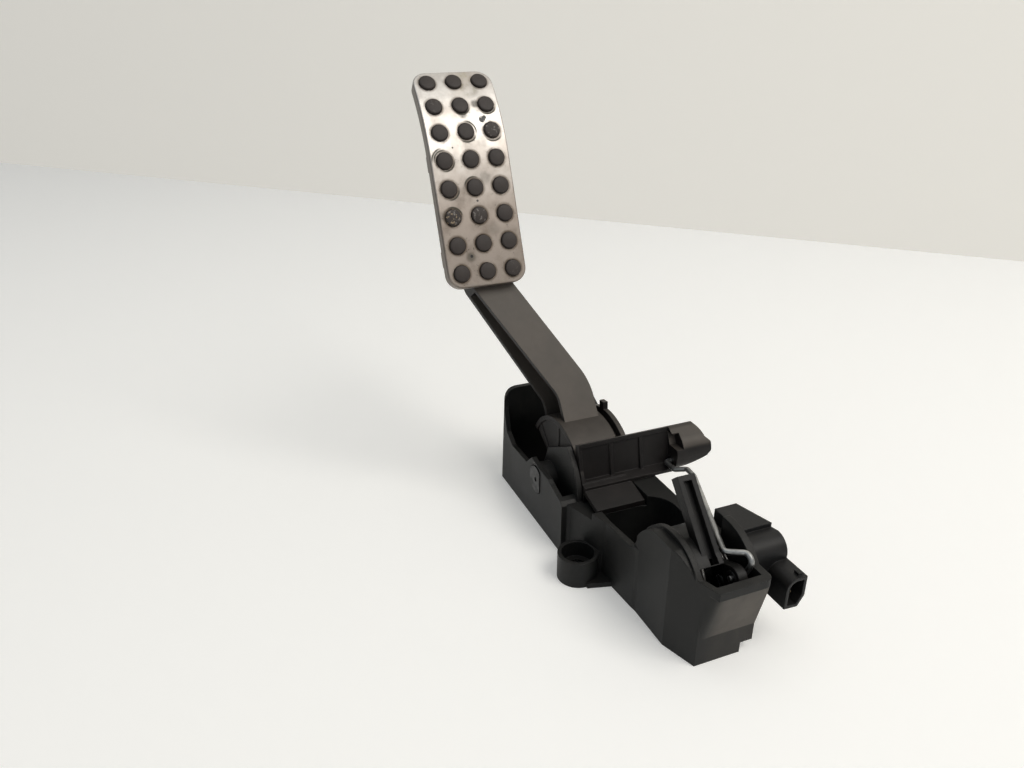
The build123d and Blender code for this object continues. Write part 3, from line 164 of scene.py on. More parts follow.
class Finish:
    """Node tree of one material. Every node comes from add, and the rest are short names for it."""

    def __init__(self, name):
        self.material = bpy.data.materials.new(name)
        self.material.use_nodes = True
        self.tree = self.material.node_tree
        self.shader = self.tree.nodes["Principled BSDF"]
        self.place = self.add("ShaderNodeTexCoord").outputs["Object"]

    def add(self, kind, settings=None, inputs=None):
        """Adds a node, sets its settings, and then fills its sockets with values or links."""
        node = self.tree.nodes.new(kind)
        for key, value in (settings or {}).items():
            setattr(node, key, value)
        self.fill(node, inputs or {})
        return node

    def fill(self, node, inputs):
        for key, value in inputs.items():
            socket = getattr(value, "socket", value)
            if isinstance(socket, bpy.types.NodeSocket):
                self.tree.links.new(socket, node.inputs[key])
            else:
                node.inputs[key].default_value = value

    def turned(self, angles, stretch):
        """Object coordinates turned and then stretched, for a pattern with a direction."""
        turn = self.add("ShaderNodeMapping", None, {"Vector": self.place, "Rotation": angles})
        spread = self.add("ShaderNodeMapping", None, {"Vector": turn.outputs[0], "Scale": stretch})
        return spread.outputs[0]

    def noise(self, scale, detail=3.0, where=None, rough=0.55):
        inputs = {"Vector": where or self.place, "Scale": scale, "Detail": detail, "Roughness": rough}
        return Value(self, self.add("ShaderNodeTexNoise", None, inputs).outputs[0])

    def cells(self, scale):
        inputs = {"Vector": self.place, "Scale": scale}
        return Value(self, self.add("ShaderNodeTexVoronoi", None, inputs).outputs["Distance"])

    def attribute(self, name):
        return Value(self, self.add("ShaderNodeAttribute", {"attribute_name": name}).outputs["Fac"])

    def measure(self, operation, first, second):
        """Number that a Vector Math operation gives for two vectors."""
        node = self.add("ShaderNodeVectorMath", {"operation": operation}, {0: first, 1: second})
        return Value(self, node.outputs["Value"])

    def along(self, direction):
        """Distance of a point along a direction, in metres."""
        return self.measure("DOT_PRODUCT", self.place, direction)

    def from_point(self, point):
        """Distance of a point from a fixed one, in metres."""
        return self.measure("DISTANCE", self.place, point)

    def blend(self, factor, first, second):
        """Colour between two colours."""
        node = self.add("ShaderNodeMix", {"data_type": "RGBA"}, {0: factor, 6: first, 7: second})
        return node.outputs[2]

    def rounded(self, radius):
        """Normal rounded over the edges within a radius."""
        return self.add("ShaderNodeBevel", {"samples": 4}, {"Radius": radius}).outputs[0]

    def edges(self, normal):
        """Mask of the edges that a rounded normal finds."""
        true = self.add("ShaderNodeNewGeometry").outputs["Normal"]
        return (1.0 - self.measure("DOT_PRODUCT", normal, true)).step(0.03, 0.25)

    def rays(self, first, *others):
        """Mask of the named kinds of rays."""
        path = self.add("ShaderNodeLightPath").outputs
        mask = Value(self, path[first])
        for other in others:
            mask = mask.most(Value(self, path[other]))
        return mask

    def facing(self, direction):
        """How much the true surface looks along a direction of the piece at rest, from -1 to 1."""
        true = self.add("ShaderNodeNewGeometry").outputs["Normal"]
        settings = {"vector_type": "NORMAL", "convert_from": "WORLD", "convert_to": "OBJECT"}
        own = self.add("ShaderNodeVectorTransform", settings, {"Vector": true}).outputs["Vector"]
        return self.measure("DOT_PRODUCT", own, direction)

    def bump(self, height, distance, normal=None):
        inputs = {"Height": height, "Distance": distance}
        if normal is not None:
            inputs["Normal"] = normal
        return self.add("ShaderNodeBump", None, inputs).outputs[0]

    def coat(self, **inputs):
        """Sets or links the shader's own sockets, named with underscores for spaces."""
        self.fill(self.shader, {key.replace("_", " "): value for key, value in inputs.items()})
        return self.material


class Room(Finish):
    """Node tree of the world, written like that of a material."""

    def __init__(self, name):
        self.world = bpy.data.worlds.new(name)
        self.world.use_nodes = True
        self.tree = self.world.node_tree
        self.shader = self.tree.nodes["Background"]


def opaque(colour):
    """RGBA of an RGB colour."""
    return (*colour, 1.0)


def shade(colour, factor):
    """RGBA of a colour made lighter or darker."""
    return (*(channel * factor for channel in colour), 1.0)


def pale_flare(finish, looks):
    """Mask of the flared front of the sensor box, which is painted paler.

    It keeps to faces that look forward, between the foot of the box and its lip.
    """
    forward = finish.facing((1.0, 0.0, 0.0)).step(0.8, 0.975)
    height = finish.along((0.0, 0.0, 1.0))
    low, high = looks.flare_heights
    level = (height.step(low, low + 0.6 * MM) * 0.8 + 0.2) * (1.0 - height.step(high - 0.6 * MM, high))
    ahead = finish.along((1.0, 0.0, 0.0)).step(looks.flare_start - MM, looks.flare_start)
    across = finish.along((0.0, 1.0, 0.0)).step(looks.flare_near, looks.flare_near + 11.0 * MM)
    return forward * level * ahead * across * (finish.noise(45.0, 4.0).step(0.2, 0.8) * 0.5 + 0.5)


def moulded_plastic(name, colour, gloss, grain, sheen_and_dust_amount, sheen_from=-1.0, haze=None):
    """Black moulded plastic: eroded grain, cloudy tone and edges painted lighter as a highlight.

    Brownish dust, with a painted sheen, lightens what looks up from a height in metres; below that height a
    painted shade is left.
    """
    finish = Finish(name)
    normal = finish.rounded(0.7 * MM)
    edge = finish.edges(normal)
    cloud = finish.noise(38.0, 4.0)
    streak = finish.noise(150.0, 3.0, finish.turned((0.0, 0.0, 0.0), (1.0, 1.0, 0.18)))
    fleck = finish.noise(2600.0, 2.0)
    speck = finish.noise(900.0, 2.0).step(0.66, 0.74)
    tone = finish.blend(cloud.step(0.3, 0.72), shade(colour, 0.72), shade(colour, 1.35))
    # The edges are painted lighter as a highlight, broken up by streaks.
    painted_edge_highlight = finish.blend(edge * streak.step(0.35, 0.65) * 0.5, tone, shade(colour, 3.2))
    # What looks up is lightened by dust and by a painted sheen; below the given height it stays dark as
    # painted shade.
    rise = finish.facing((0.0, 0.0, 1.0))
    upward = rise.step(0.25, 0.5) * (1.0 - rise.step(0.65, 1.0) * 0.6) * (cloud * 0.8 + 0.6)
    unshaded_height = finish.along((0.0, 0.0, 1.0)).step(sheen_from, sheen_from + 14.0 * MM)
    smear = (streak.step(0.45, 0.85) + speck * 0.6) * cloud.step(0.35, 0.7)
    dust_and_sheen = upward * unshaded_height * sheen_and_dust_amount + smear * 0.04
    if haze is not None:
        dust_and_sheen = haze(finish) * 0.4 + dust_and_sheen
    rough = gloss + (cloud - 0.5) * 0.22 + fleck * 0.08 - edge * 0.08
    return finish.coat(
        Base_Color=finish.blend(dust_and_sheen, painted_edge_highlight, DUST_SHEEN_COLOUR),
        Roughness=rough,
        Specular_IOR_Level=0.25,
        Normal=finish.bump(fleck + finish.noise(1100.0, 2.0) * 0.6, grain * MM, normal),
    )


def stud_distance(finish, looks):
    """Run up the pad's bent face, and distance over it from the middle of the nearest stud.

    With v up the straight part and b behind its plane,
    run = min(v, flat) + R atan2(max(v - flat, 0), R - b).
    """
    rise = (-cos(looks.pad_slope), 0.0, sin(looks.pad_slope))
    facing = (sin(looks.pad_slope), 0.0, cos(looks.pad_slope))
    up = finish.along(rise) - float(np.dot(looks.pad_foot, rise))
    behind = float(np.dot(looks.pad_foot, facing)) - finish.along(facing)
    past = (up - looks.pad_flat).most(0.0)
    bend = past.math("ARCTAN2", past, looks.pad_radius - behind)
    run = up.least(looks.pad_flat) + bend * looks.pad_radius
    over = ((run - looks.stud_margin) / looks.stud_pitch).off_grid() * looks.stud_pitch
    side = (finish.along((0.0, 1.0, 0.0)) - looks.pad_foot[1]) / looks.stud_column_pitch
    beside = side.off_grid() * looks.stud_column_pitch
    return run, (over * over + beside * beside) ** 0.5


def spot(finish, looks, row, column, reach):
    """Soft round mask on the pad at a row and column of its studs."""
    return 1.0 - finish.from_point(tuple(pad_point(looks, row, column))).step(reach * 0.35 * MM, reach * MM)


def brushed_pad(looks):
    """Brushed pad metal: fine lines along the pad, cloudy stains, dirt and a painted contact shade round
    the studs, nicks and arcs.
    """
    finish = Finish("brushed_pad")
    normal = finish.rounded(0.5 * MM)
    along = finish.turned((0.0, looks.pad_slope - pi / 2, 0.0), (1.0, 1.0, 0.035))
    line = finish.noise(1500.0, 3.0, along, 0.7)
    wide = finish.noise(260.0, 3.0, along)
    cloud = finish.noise(30.0, 5.0)
    blot = finish.noise(95.0, 5.0, None, 0.65)
    sand = finish.noise(620.0, 3.0)
    metal = finish.blend(wide.step(0.3, 0.7), shade(looks.pad_metal, 0.86), opaque(looks.pad_metal))
    cool = finish.blend(cloud.step(0.42, 0.7) * 0.6, metal, opaque(looks.pad_tint))
    scratch = finish.noise(700.0, 1.0, finish.turned((0.4, 0.2, 0.9), (1.0, 0.03, 1.0))).step(0.7, 0.76)
    run, away = stud_distance(finish, looks)
    low = 1.0 - run.step(looks.pad_flat * 0.5, looks.pad_flat * 1.3)
    # Round each stud a ring is darkened, partly dirt and partly painted contact shade.
    ring = 1.0 - away.step(looks.stud_radius + 0.2 * MM, looks.stud_radius + 2.1 * MM)
    shade_and_dirt_ring = ring * blot.step(0.26, 0.56) * (low * 0.4 + 0.6)
    film_and_shade = (blot.step(0.42, 0.8) * (low * 0.35 + 0.2)).most(shade_and_dirt_ring)
    specks = sand.step(0.62, 0.68) * (1.0 - away.step(6.5 * MM, 9.5 * MM)) * blot.step(0.4, 0.6)
    stains = specks * (low * 0.5 + 0.3)
    for row, column, reach, force in PAD_STAINS:
        stains = spot(finish, looks, row, column, reach) * force * blot.step(0.22, 0.55) + stains
    for row, column, turn, radius in PAD_ARCS:
        middle = finish.from_point(tuple(pad_point(looks, row, column)))
        outside = middle.step(radius * MM, (radius + 0.7) * MM)
        band = middle.step((radius - 0.8) * MM, radius * MM) * (1.0 - outside)
        beside = radius * MM * sin(turn) / looks.stud_column_pitch
        above = radius * MM * cos(turn) / looks.stud_pitch
        stains = band * spot(finish, looks, row + above, column + beside, 6.5) * 1.1 + stains
    nicks = 0.0
    for row, column, reach in PAD_NICKS:
        nicks = spot(finish, looks, row, column, reach).step(0.2, 0.5) * sand.step(0.3, 0.42) + nicks
    warm = finish.blend(low, cool, shade(looks.pad_tint, 0.74))
    mossy = spot(finish, looks, 6.75, 0.45, 8.0).most(spot(finish, looks, 7.2, 0.5, 6.0))
    green = finish.blend(mossy * blot.step(0.35, 0.6) * 0.4, warm, opaque(looks.moss))
    soiled_and_shaded = finish.blend(film_and_shade, green, opaque(looks.grime_and_ring_shade))
    stained = finish.blend(stains.least(0.9), soiled_and_shaded, opaque(looks.stain))
    dark = finish.blend(nicks.least(1.0), stained, NICK)
    # The pad's near flank, which faces away from the lamps, is painted darker as shade.
    shaded_flank = finish.facing((0.0, -1.0, 0.0)).step(0.6, 0.9)
    flank_shaded = finish.blend(shaded_flank * 0.75, dark, shade(looks.pad_tint, 0.4))
    rough = 0.37 + (line - 0.5) * 0.2 + film_and_shade * 0.3 + stains * 0.2 + cloud * 0.08 + scratch * 0.1
    return finish.coat(
        Base_Color=flank_shaded,
        Metallic=(1.0 - film_and_shade * 0.5 - stains * 0.6 - nicks).most(0.0),
        Roughness=rough,
        Normal=finish.bump(line + wide * 0.4 + scratch * 0.5, 0.012 * MM, normal),
    )


def stud_rubber(looks):
    """Dull brownish rubber of the studs: crowns painted lighter as a highlight, small grey scuffs on the
    crowns that wear most, and tan crumbs on the worst.
    """
    finish = Finish("stud_rubber")
    wear = finish.attribute("wear")
    crown = finish.attribute("crown")
    cloud = finish.noise(120.0, 4.0)
    pit = finish.noise(1500.0, 3.0)
    chip = finish.noise(520.0, 4.0)
    base = finish.blend(cloud.step(0.3, 0.7), shade(looks.rubber, 0.75), shade(looks.rubber, 1.25))
    # The crowns are painted lighter as a highlight.
    crown_highlight = finish.blend(crown * 0.5, base, shade(looks.rubber, 1.7))
    scuff = crown * wear.step(0.6, 0.95) * chip.step(0.57, 0.66)
    scuffed = finish.blend(scuff * 0.75, crown_highlight, SCUFF)
    crumbs = wear.step(0.96, 1.0) * finish.noise(560.0, 2.0).step(0.58, 0.66)
    return finish.coat(
        Base_Color=finish.blend(crumbs * 0.85, scuffed, CRUMB),
        Roughness=0.58 + (pit - 0.5) * 0.3 - scuff * 0.1,
        Specular_IOR_Level=0.4,
        Normal=finish.bump(pit + cloud * 0.4, 0.05 * MM),
    )


def plain_rubber(name, colour):
    """Dull black rubber with a fine skin."""
    finish = Finish(name)
    skin = finish.noise(1700.0, 3.0)
    cloud = finish.noise(90.0, 3.0)
    return finish.coat(
        Base_Color=finish.blend(cloud.step(0.3, 0.7), shade(colour, 0.7), shade(colour, 1.3)),
        Roughness=0.68 + (skin - 0.5) * 0.25,
        Normal=finish.bump(skin, 0.04 * MM, finish.rounded(0.4 * MM)),
    )


def drawn_metal(name, colour, dull, gloss, lines, turn=(0.0, 0.0, 0.0)):
    """Drawn or turned metal: lines along its length, dull oxide patches and a few specks."""
    finish = Finish(name)
    normal = finish.rounded(0.25 * MM)
    line = finish.noise(1900.0, 2.0, finish.turned(turn, (1.0, 0.06, 1.0)))
    patch = finish.noise(170.0, 5.0, None, 0.6)
    speck = finish.cells(900.0).step(0.05, 0.16)
    tone = finish.blend(patch.step(0.42, 0.68), opaque(colour), opaque(dull))
    return finish.coat(
        Base_Color=finish.blend((1.0 - speck) * 0.35, tone, shade(dull, 0.35)),
        Metallic=1.0,
        Roughness=gloss + patch.step(0.35, 0.75) * 0.22 + (line - 0.5) * 0.12,
        Normal=finish.bump(line, lines * MM, normal),
    )


def fired_ceramic(colour, centre):
    """Pale fired ceramic of the sensor's board with a dark printed track round the crank's axis."""
    finish = Finish("fired_ceramic")
    sand = finish.noise(900.0, 3.0)
    settings = {"operation": "MULTIPLY"}
    flat = finish.add("ShaderNodeVectorMath", settings, {0: finish.place, 1: (1.0, 0.0, 1.0)}).outputs[0]
    radius = finish.measure("DISTANCE", flat, (centre[0], 0.0, centre[1]))
    track = radius.step(6.4 * MM, 6.6 * MM) * (1.0 - radius.step(10.0 * MM, 10.2 * MM))
    plain = finish.blend(sand, shade(colour, 0.9), opaque(colour))
    return finish.coat(
        Base_Color=finish.blend(track, plain, TRACK),
        Roughness=0.55 + (sand - 0.5) * 0.2,
        Normal=finish.bump(sand, 0.01 * MM),
    )


def pad_frame(looks, run):
    """Place on the pad's face and the direction it faces at a run along the pad, as arrays.

    The face is straight up to pad_flat and then follows a circle of pad_radius:
    bend = max(0, run - pad_flat) / pad_radius, up = min(run, pad_flat) + R sin(bend) and
    behind = R (1 - cos(bend)).
    """
    run = np.asarray(run, float)
    bend = np.maximum(0.0, run - looks.pad_flat) / looks.pad_radius
    up = np.minimum(run, looks.pad_flat) + looks.pad_radius * np.sin(bend)
    behind = looks.pad_radius * (1.0 - np.cos(bend))
    slope = looks.pad_slope
    place = np.stack(
        [
            looks.pad_foot[0] - up * cos(slope) - behind * sin(slope),
            np.full_like(run, looks.pad_foot[1]),
            looks.pad_foot[2] + up * sin(slope) - behind * cos(slope),
        ],
        axis=-1,
    )
    facing = np.stack([np.sin(slope - bend), np.zeros_like(run), np.cos(slope - bend)], axis=-1)
    return place, facing


def pad_point(looks, row, column):
    """Point on the pad's face at a row from the foot and a column from the middle."""
    place, _ = pad_frame(looks, looks.stud_margin + row * looks.stud_pitch)
    return place + np.array([0.0, column * looks.stud_column_pitch, 0.0])


def grid_faces(rows, columns):
    """Quads of a grid of points whose columns close on themselves."""
    row, column = np.meshgrid(np.arange(rows - 1), np.arange(columns), indexing="ij")
    after = (column + 1) % columns
    here, above = row * columns, (row + 1) * columns
    return np.stack([here + column, here + after, above + after, above + column], axis=-1).reshape(-1, 4)


def make_piece(name, body, nodes, slot, points, quads, caps, material):
    """Puts points, quads and end caps into a mesh that rides a body and stands for its nodes."""
    mesh = bpy.data.meshes.new(name)
    mesh.from_pydata(points.tolist(), [], quads.tolist() + [cap.tolist() for cap in caps])
    mesh.validate()
    mesh.shade_smooth()
    mesh.set_sharp_from_angle(angle=SHARP_ANGLE)
    mesh.materials.append(material)
    piece = bpy.data.objects.new(name, mesh)
    bpy.context.scene.collection.objects.link(piece)
    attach(piece, body)
    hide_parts(*nodes)
    return piece


def set_attribute(mesh, name, values):
    """Stores one number per point of a mesh."""
    store = mesh.attributes.new(name, "FLOAT", "POINT").data
    store.foreach_set("value", np.ascontiguousarray(values, np.float32).ravel())


def tube(path, radius, sides, reference):
    """Round tube: point(i, t) = path(i) + r(i) (cos t * across + sin t * over), with its ends drawn in.

    across is the reference made square to the path's direction, over is their cross product.
    """
    heading = np.gradient(path, axis=0)
    heading /= np.linalg.norm(heading, axis=1, keepdims=True)
    across = reference - heading * (heading @ reference)[:, None]
    across /= np.linalg.norm(across, axis=1, keepdims=True)
    over = np.cross(heading, across)
    inset = 0.25 * radius
    path = np.concatenate([path[:1], path, path[-1:]])
    across = np.concatenate([across[:1], across, across[-1:]])
    over = np.concatenate([over[:1], over, over[-1:]])
    path[1] += heading[0] * inset
    path[-2] -= heading[-1] * inset
    reach = np.full(len(path), radius)
    reach[[0, -1]] = radius - inset
    turn = np.linspace(0.0, 2 * pi, sides, endpoint=False)
    ring = np.cos(turn)[None, :, None] * across[:, None] + np.sin(turn)[None, :, None] * over[:, None]
    points = path[:, None] + reach[:, None, None] * ring
    rows = len(path)
    caps = [np.arange(sides - 1, -1, -1), np.arange((rows - 1) * sides, rows * sides)]
    return points.reshape(-1, 3), grid_faces(rows, sides), caps


def stud_shells(looks):
    """Points, quads, end caps, crown and wear of all the studs.

    Each stud is a lathe: point(h, t) = foot + h facing + r(h) (cos t across + sin t up), where the wall is
    straight, the shoulder is a quarter of an ellipse and the top is a low parabola.
    """
    bend = np.linspace(0.0, pi / 2, 9)
    flat = looks.stud_radius - looks.stud_shoulder
    dome = 0.16 * looks.stud_height
    shoulder = looks.stud_shoulder * 0.8
    wall_top = looks.stud_height - dome - shoulder
    top = np.linspace(1.0, 0.06, 9)[1:]
    low = -looks.plate - 0.5 * looks.mat
    rise = looks.stud_height - dome * top**2
    height = np.concatenate([[low, 0.0], wall_top + shoulder * np.sin(bend), rise])
    wall = [looks.stud_radius] * 2
    radius = np.concatenate([wall, flat + looks.stud_shoulder * np.cos(bend), flat * top])
    sides = STUD_SIDES
    turn = np.linspace(0.0, 2 * pi, sides, endpoint=False)
    row, column = np.meshgrid(np.arange(looks.stud_rows), np.arange(-1, 2), indexing="ij")
    row, column = row.ravel(), column.ravel()
    foot, facing = pad_frame(looks, looks.stud_margin + row * looks.stud_pitch)
    foot[:, 1] += column * looks.stud_column_pitch
    across = np.array([0.0, 1.0, 0.0])
    up = np.cross(facing, across)
    ring = np.cos(turn)[:, None] * across + np.sin(turn)[None, :, None] * up[:, None]
    middle = foot[:, None] + height[:, None] * facing[:, None]
    points = middle[:, :, None] + radius[:, None, None] * ring[:, None]
    count, rings = len(row), len(height)
    shift = np.arange(count) * rings * sides
    quads = (shift[:, None, None] + grid_faces(rings, sides)).reshape(-1, 4)
    around = np.arange(sides)
    caps = [cap for first in shift for cap in (first + around[::-1], first + (rings - 1) * sides + around)]
    lift = ((height - wall_top) / (looks.stud_height - wall_top)).clip(0.0, 1.0)
    crown = np.broadcast_to(lift[:, None], (count, rings, sides))
    wear = np.random.default_rng(WEAR_SEED).uniform(0.1, 0.62, count)
    for index, place in enumerate(zip(row.tolist(), column.tolist())):
        wear[index] = WORN_STUDS.get(place, wear[index])
    return points.reshape(-1, 3), quads, caps, crown.ravel(), np.repeat(wear, rings * sides)


def sheet_shell(looks):
    """Points, quads and end caps of the rubber sheet behind the metal.

    Its section is a thin rectangle carried along the pad. Near both ends its half width is drawn in by
    c - sqrt(c^2 - (c - e)^2), with c the corner's radius and e the distance from the end.
    """
    corner = looks.pad_corner
    bend = np.linspace(0.0, pi / 2, 10)
    ends = corner * (1.0 - np.cos(bend))
    low = looks.mat_inset
    high = looks.pad_length - looks.mat_inset
    middle = np.linspace(low + corner, high - corner, 40)[1:-1]
    run = np.concatenate([low + ends, middle, high - ends[::-1]])
    drawn = corner * (1.0 - np.sin(bend))
    half = np.full(len(run), looks.mat_width / 2)
    half[: len(drawn)] -= drawn
    half[-len(drawn) :] -= drawn[::-1]
    place, facing = pad_frame(looks, run)
    wide = half[:, None, None] * np.array([0.0, 1.0, 0.0]) * np.array([1.0, -1.0, -1.0, 1.0])[None, :, None]
    back, front = looks.plate + looks.mat, looks.plate + 0.02 * MM
    depth = np.array([back, back, front, front])
    points = place[:, None] + wide - depth[None, :, None] * facing[:, None]
    rows = len(run)
    caps = [np.arange(3, -1, -1), np.arange((rows - 1) * 4, rows * 4)]
    return points.reshape(-1, 3), grid_faces(rows, 4), caps


def coil(centre, radius, start, end, turns, wire):
    """Round spring wire on a helix round the crank's axis.

    x = cx + R cos t, y = start + (end - start) t / T and z = cz + R sin t, with T the last t.
    """
    t = np.linspace(0.0, 2 * pi * turns, int(turns * COIL_STEPS) + 1)
    across = start + (end - start) * t / t[-1]
    path = np.stack([centre[0] + radius * np.cos(t), across, centre[1] + radius * np.sin(t)], axis=-1)
    return tube(path, wire / 2, SPRING_SIDES, np.array([0.0, 1.0, 0.0]))


def dress(material, *names):
    """Gives CAD nodes a material."""
    for name in names:
        mesh = NODES[name].data
        mesh.materials.clear()
        mesh.materials.append(material)


def colour_setting(name, description, default):
    """Property for a colour."""
    return FloatVectorProperty(name=name, description=description, subtype="COLOR", default=default)


def length_setting(name, description, default):
    """Property for a length in metres."""
    return FloatProperty(name=name, description=description, unit="LENGTH", default=default)


class PedalLooks(bpy.types.PropertyGroup):
    """Sizes and colours of the pedal's finishes."""

    housing_black: colour_setting("Housing", "Plastic of the base", (0.0092, 0.0093, 0.009))
    arm_black: colour_setting("Arm", "Plastic of the arm and lever", (0.0095, 0.0078, 0.0074))
    # Below this height the arm keeps a painted shade; above it, dust and a painted sheen lighten what looks
    # up.
    arm_sheen_from: length_setting("Arm dust", "Height from which dust lies on the arm", 0.046)
    crank_black: colour_setting("Crank", "Plastic of the crank", (0.006, 0.0056, 0.0054))
    sensor_black: colour_setting("Sensor", "Plastic of the sensor", (0.008, 0.008, 0.0085))
    bush_black: colour_setting("Bushes", "Plastic of the bushes", (0.012, 0.012, 0.012))
    pad_metal: colour_setting("Pad metal", "Brushed metal of the pad", (0.53, 0.505, 0.475))
    # This tint, darkened, also paints the shade on the pad's near flank.
    pad_tint: colour_setting("Pad tint", "Warm tint of handled metal", (0.35, 0.30, 0.26))
    # Colour of the dirt round the studs, also used for their painted contact shade.
    grime_and_ring_shade: colour_setting("Grime", "Film round the studs", (0.15, 0.115, 0.085))
    moss: colour_setting("Moss", "Greenish stain near the pad's top", (0.30, 0.275, 0.15))
    stain: colour_setting("Stain", "Dark spots on the pad", (0.055, 0.050, 0.036))
    rubber: colour_setting("Rubber", "Rubber of the studs", (0.0245, 0.0182, 0.0155))
    zinc: colour_setting("Zinc", "Plated wire", (0.42, 0.42, 0.412))
    steel: colour_setting("Steel", "Oiled dark steel", (0.10, 0.10, 0.105))
    oxide: colour_setting("Oxide", "Blackened steel", (0.03, 0.03, 0.031))
    brass: colour_setting("Contacts", "Tinned contact metal", (0.72, 0.64, 0.46))
    board: colour_setting("Board", "Ceramic of the sensor's board", (0.74, 0.72, 0.67))
    pad_foot: FloatVectorProperty(
        name="Pad foot",
        description="Middle of the pad's lower front edge",
        subtype="TRANSLATION",
        unit="LENGTH",
        default=(-0.099616, -0.0493, 0.142459),
    )
    pad_slope: FloatProperty(
        name="Pad slope",
        description="Slope of the pad's straight part",
        subtype="ANGLE",
        default=radians(66.9),
    )
    pad_flat: length_setting("Pad flat", "Length of the straight part", 0.0737)
    pad_radius: length_setting("Pad radius", "Radius of the bent part", 0.115)
    pad_length: length_setting("Pad length", "Run of the pad's face", 0.1309)
    pad_corner: length_setting("Mat corner", "Corner radius of the rubber sheet", 0.0074)
    mat_width: length_setting("Mat width", "Width of the rubber sheet", 0.0456)
    mat_inset: length_setting("Mat inset", "Sheet inside the pad's ends", 0.0016)
    plate: length_setting("Plate", "Thickness of the pad's metal", 0.0014)
    mat: length_setting("Mat", "Thickness of the rubber sheet", 0.0017)
    flare_heights: FloatVectorProperty(
        name="Flare",
        description="Foot and lip of the box's front",
        size=2,
        unit="LENGTH",
        default=(0.016, 0.0455),
    )
    flare_near: length_setting("Flare near", "Near end of the box's front", -0.0135)
    flare_start: length_setting("Flare start", "Front wall of the box", 0.084)
    crank_centre: FloatVectorProperty(
        name="Crank",
        description="Axis of the crank in X and Z",
        size=2,
        unit="LENGTH",
        default=(0.059, 0.034),
    )
    stud_rows: IntProperty(name="Stud rows", description="Rows of studs", default=8)
    stud_margin: length_setting("Stud margin", "First row above the pad's lower edge", 0.0085)
    stud_pitch: length_setting("Stud pitch", "Row to row", 0.0163)
    stud_column_pitch: length_setting("Column pitch", "Column to column", 0.016)
    stud_radius: length_setting("Stud radius", "Radius of a stud", 0.0049)
    stud_height: length_setting("Stud height", "Height of a stud over the metal", 0.0019)
    stud_shoulder: length_setting("Stud shoulder", "Round at the top of a stud", 0.0011)


class PedalStage(bpy.types.PropertyGroup):
    """Camera, floor and light."""

    camera_place: FloatVectorProperty(
        name="Camera",
        description="Place of the camera",
        subtype="TRANSLATION",
        unit="LENGTH",
        default=(0.3353, -0.2145, 0.300),
    )
    camera_turn: FloatVectorProperty(
        name="Turn",
        description="Rotation of the camera",
        subtype="EULER",
        default=(radians(64.5), 0.0, radians(67.6)),
    )
    lens: FloatProperty(
        name="Lens",
        description="Focal length in millimetres on a 36 mm sensor",
        default=29.18,
    )
    floor_white: colour_setting("Floor", "Colour of the floor", (0.90, 0.895, 0.875))
    wall_white: colour_setting("Wall", "Colour of the wall behind", (0.47, 0.457, 0.425))
    key_power: FloatProperty(
        name="Key light",
        description="Power of the large soft light",
        unit="POWER",
        default=20.5,
    )
    top_power: FloatProperty(
        name="Top light",
        description="Power of the overhead light",
        unit="POWER",
        default=13.0,
    )
    sky: FloatProperty(
        name="Room light",
        description="Strength of the even light of the room",
        default=0.25,
    )
    room_pale: FloatProperty(
        name="Room",
        description="Paleness of the room as metal shows it",
        default=0.46,
    )


class PEDAL_OT_housing(bpy.types.Operator):
    """Finish the moulded base, the rubber rest of the lever and the sensor's seal"""

    bl_idname = "pedal.housing"
    bl_label = "Housing"

    def execute(self, context):
        looks = context.scene.pedal_looks
        haze = partial(pale_flare, looks=looks)
        black = moulded_plastic("housing_plastic", looks.housing_black, 0.46, 0.05, 0.03, haze=haze)
        dress(black, "housing")
        dress(plain_rubber("rest_rubber", looks.rubber), "stop_bumper", "sensor_seal")
        return {"FINISHED"}


class PEDAL_OT_arm(bpy.types.Operator):
    """Finish the arm with its drum and output lever"""

    bl_idname = "pedal.arm"
    bl_label = "Arm and lever"

    def execute(self, context):
        looks = context.scene.pedal_looks
        black = moulded_plastic("arm_plastic", looks.arm_black, 0.44, 0.04, 0.33, looks.arm_sheen_from)
        dress(black, "pedal_arm")
        return {"FINISHED"}


class PEDAL_OT_pad(bpy.types.Operator):
    """Finish the pad's metal and mark the dirt and painted contact shade round its stud holes"""

    bl_idname = "pedal.pad"
    bl_label = "Pad plate"

    def execute(self, context):
        looks = context.scene.pedal_looks
        dress(brushed_pad(looks), "pad_plate")
        return {"FINISHED"}


class PEDAL_OT_studs(bpy.types.Operator):
    """Make the rubber studs and the sheet that carries them"""

    bl_idname = "pedal.studs"
    bl_label = "Studs"

    def execute(self, context):
        looks = context.scene.pedal_looks
        studs, stud_quads, stud_caps, crown, wear = stud_shells(looks)
        sheet, sheet_quads, sheet_caps = sheet_shell(looks)
        first = len(studs)
        points = np.concatenate([studs, sheet])
        quads = np.concatenate([stud_quads, sheet_quads + first])
        caps = stud_caps + [np.asarray(cap) + first for cap in sheet_caps]
        rubber = stud_rubber(looks)
        piece = make_piece("studs", "pedal", ["stud_mat"], "stud_rubber", points, quads, caps, rubber)
        plain = np.zeros(len(sheet))
        set_attribute(piece.data, "crown", np.concatenate([crown, plain]))
        set_attribute(piece.data, "wear", np.concatenate([wear, plain]))
        return {"FINISHED"}


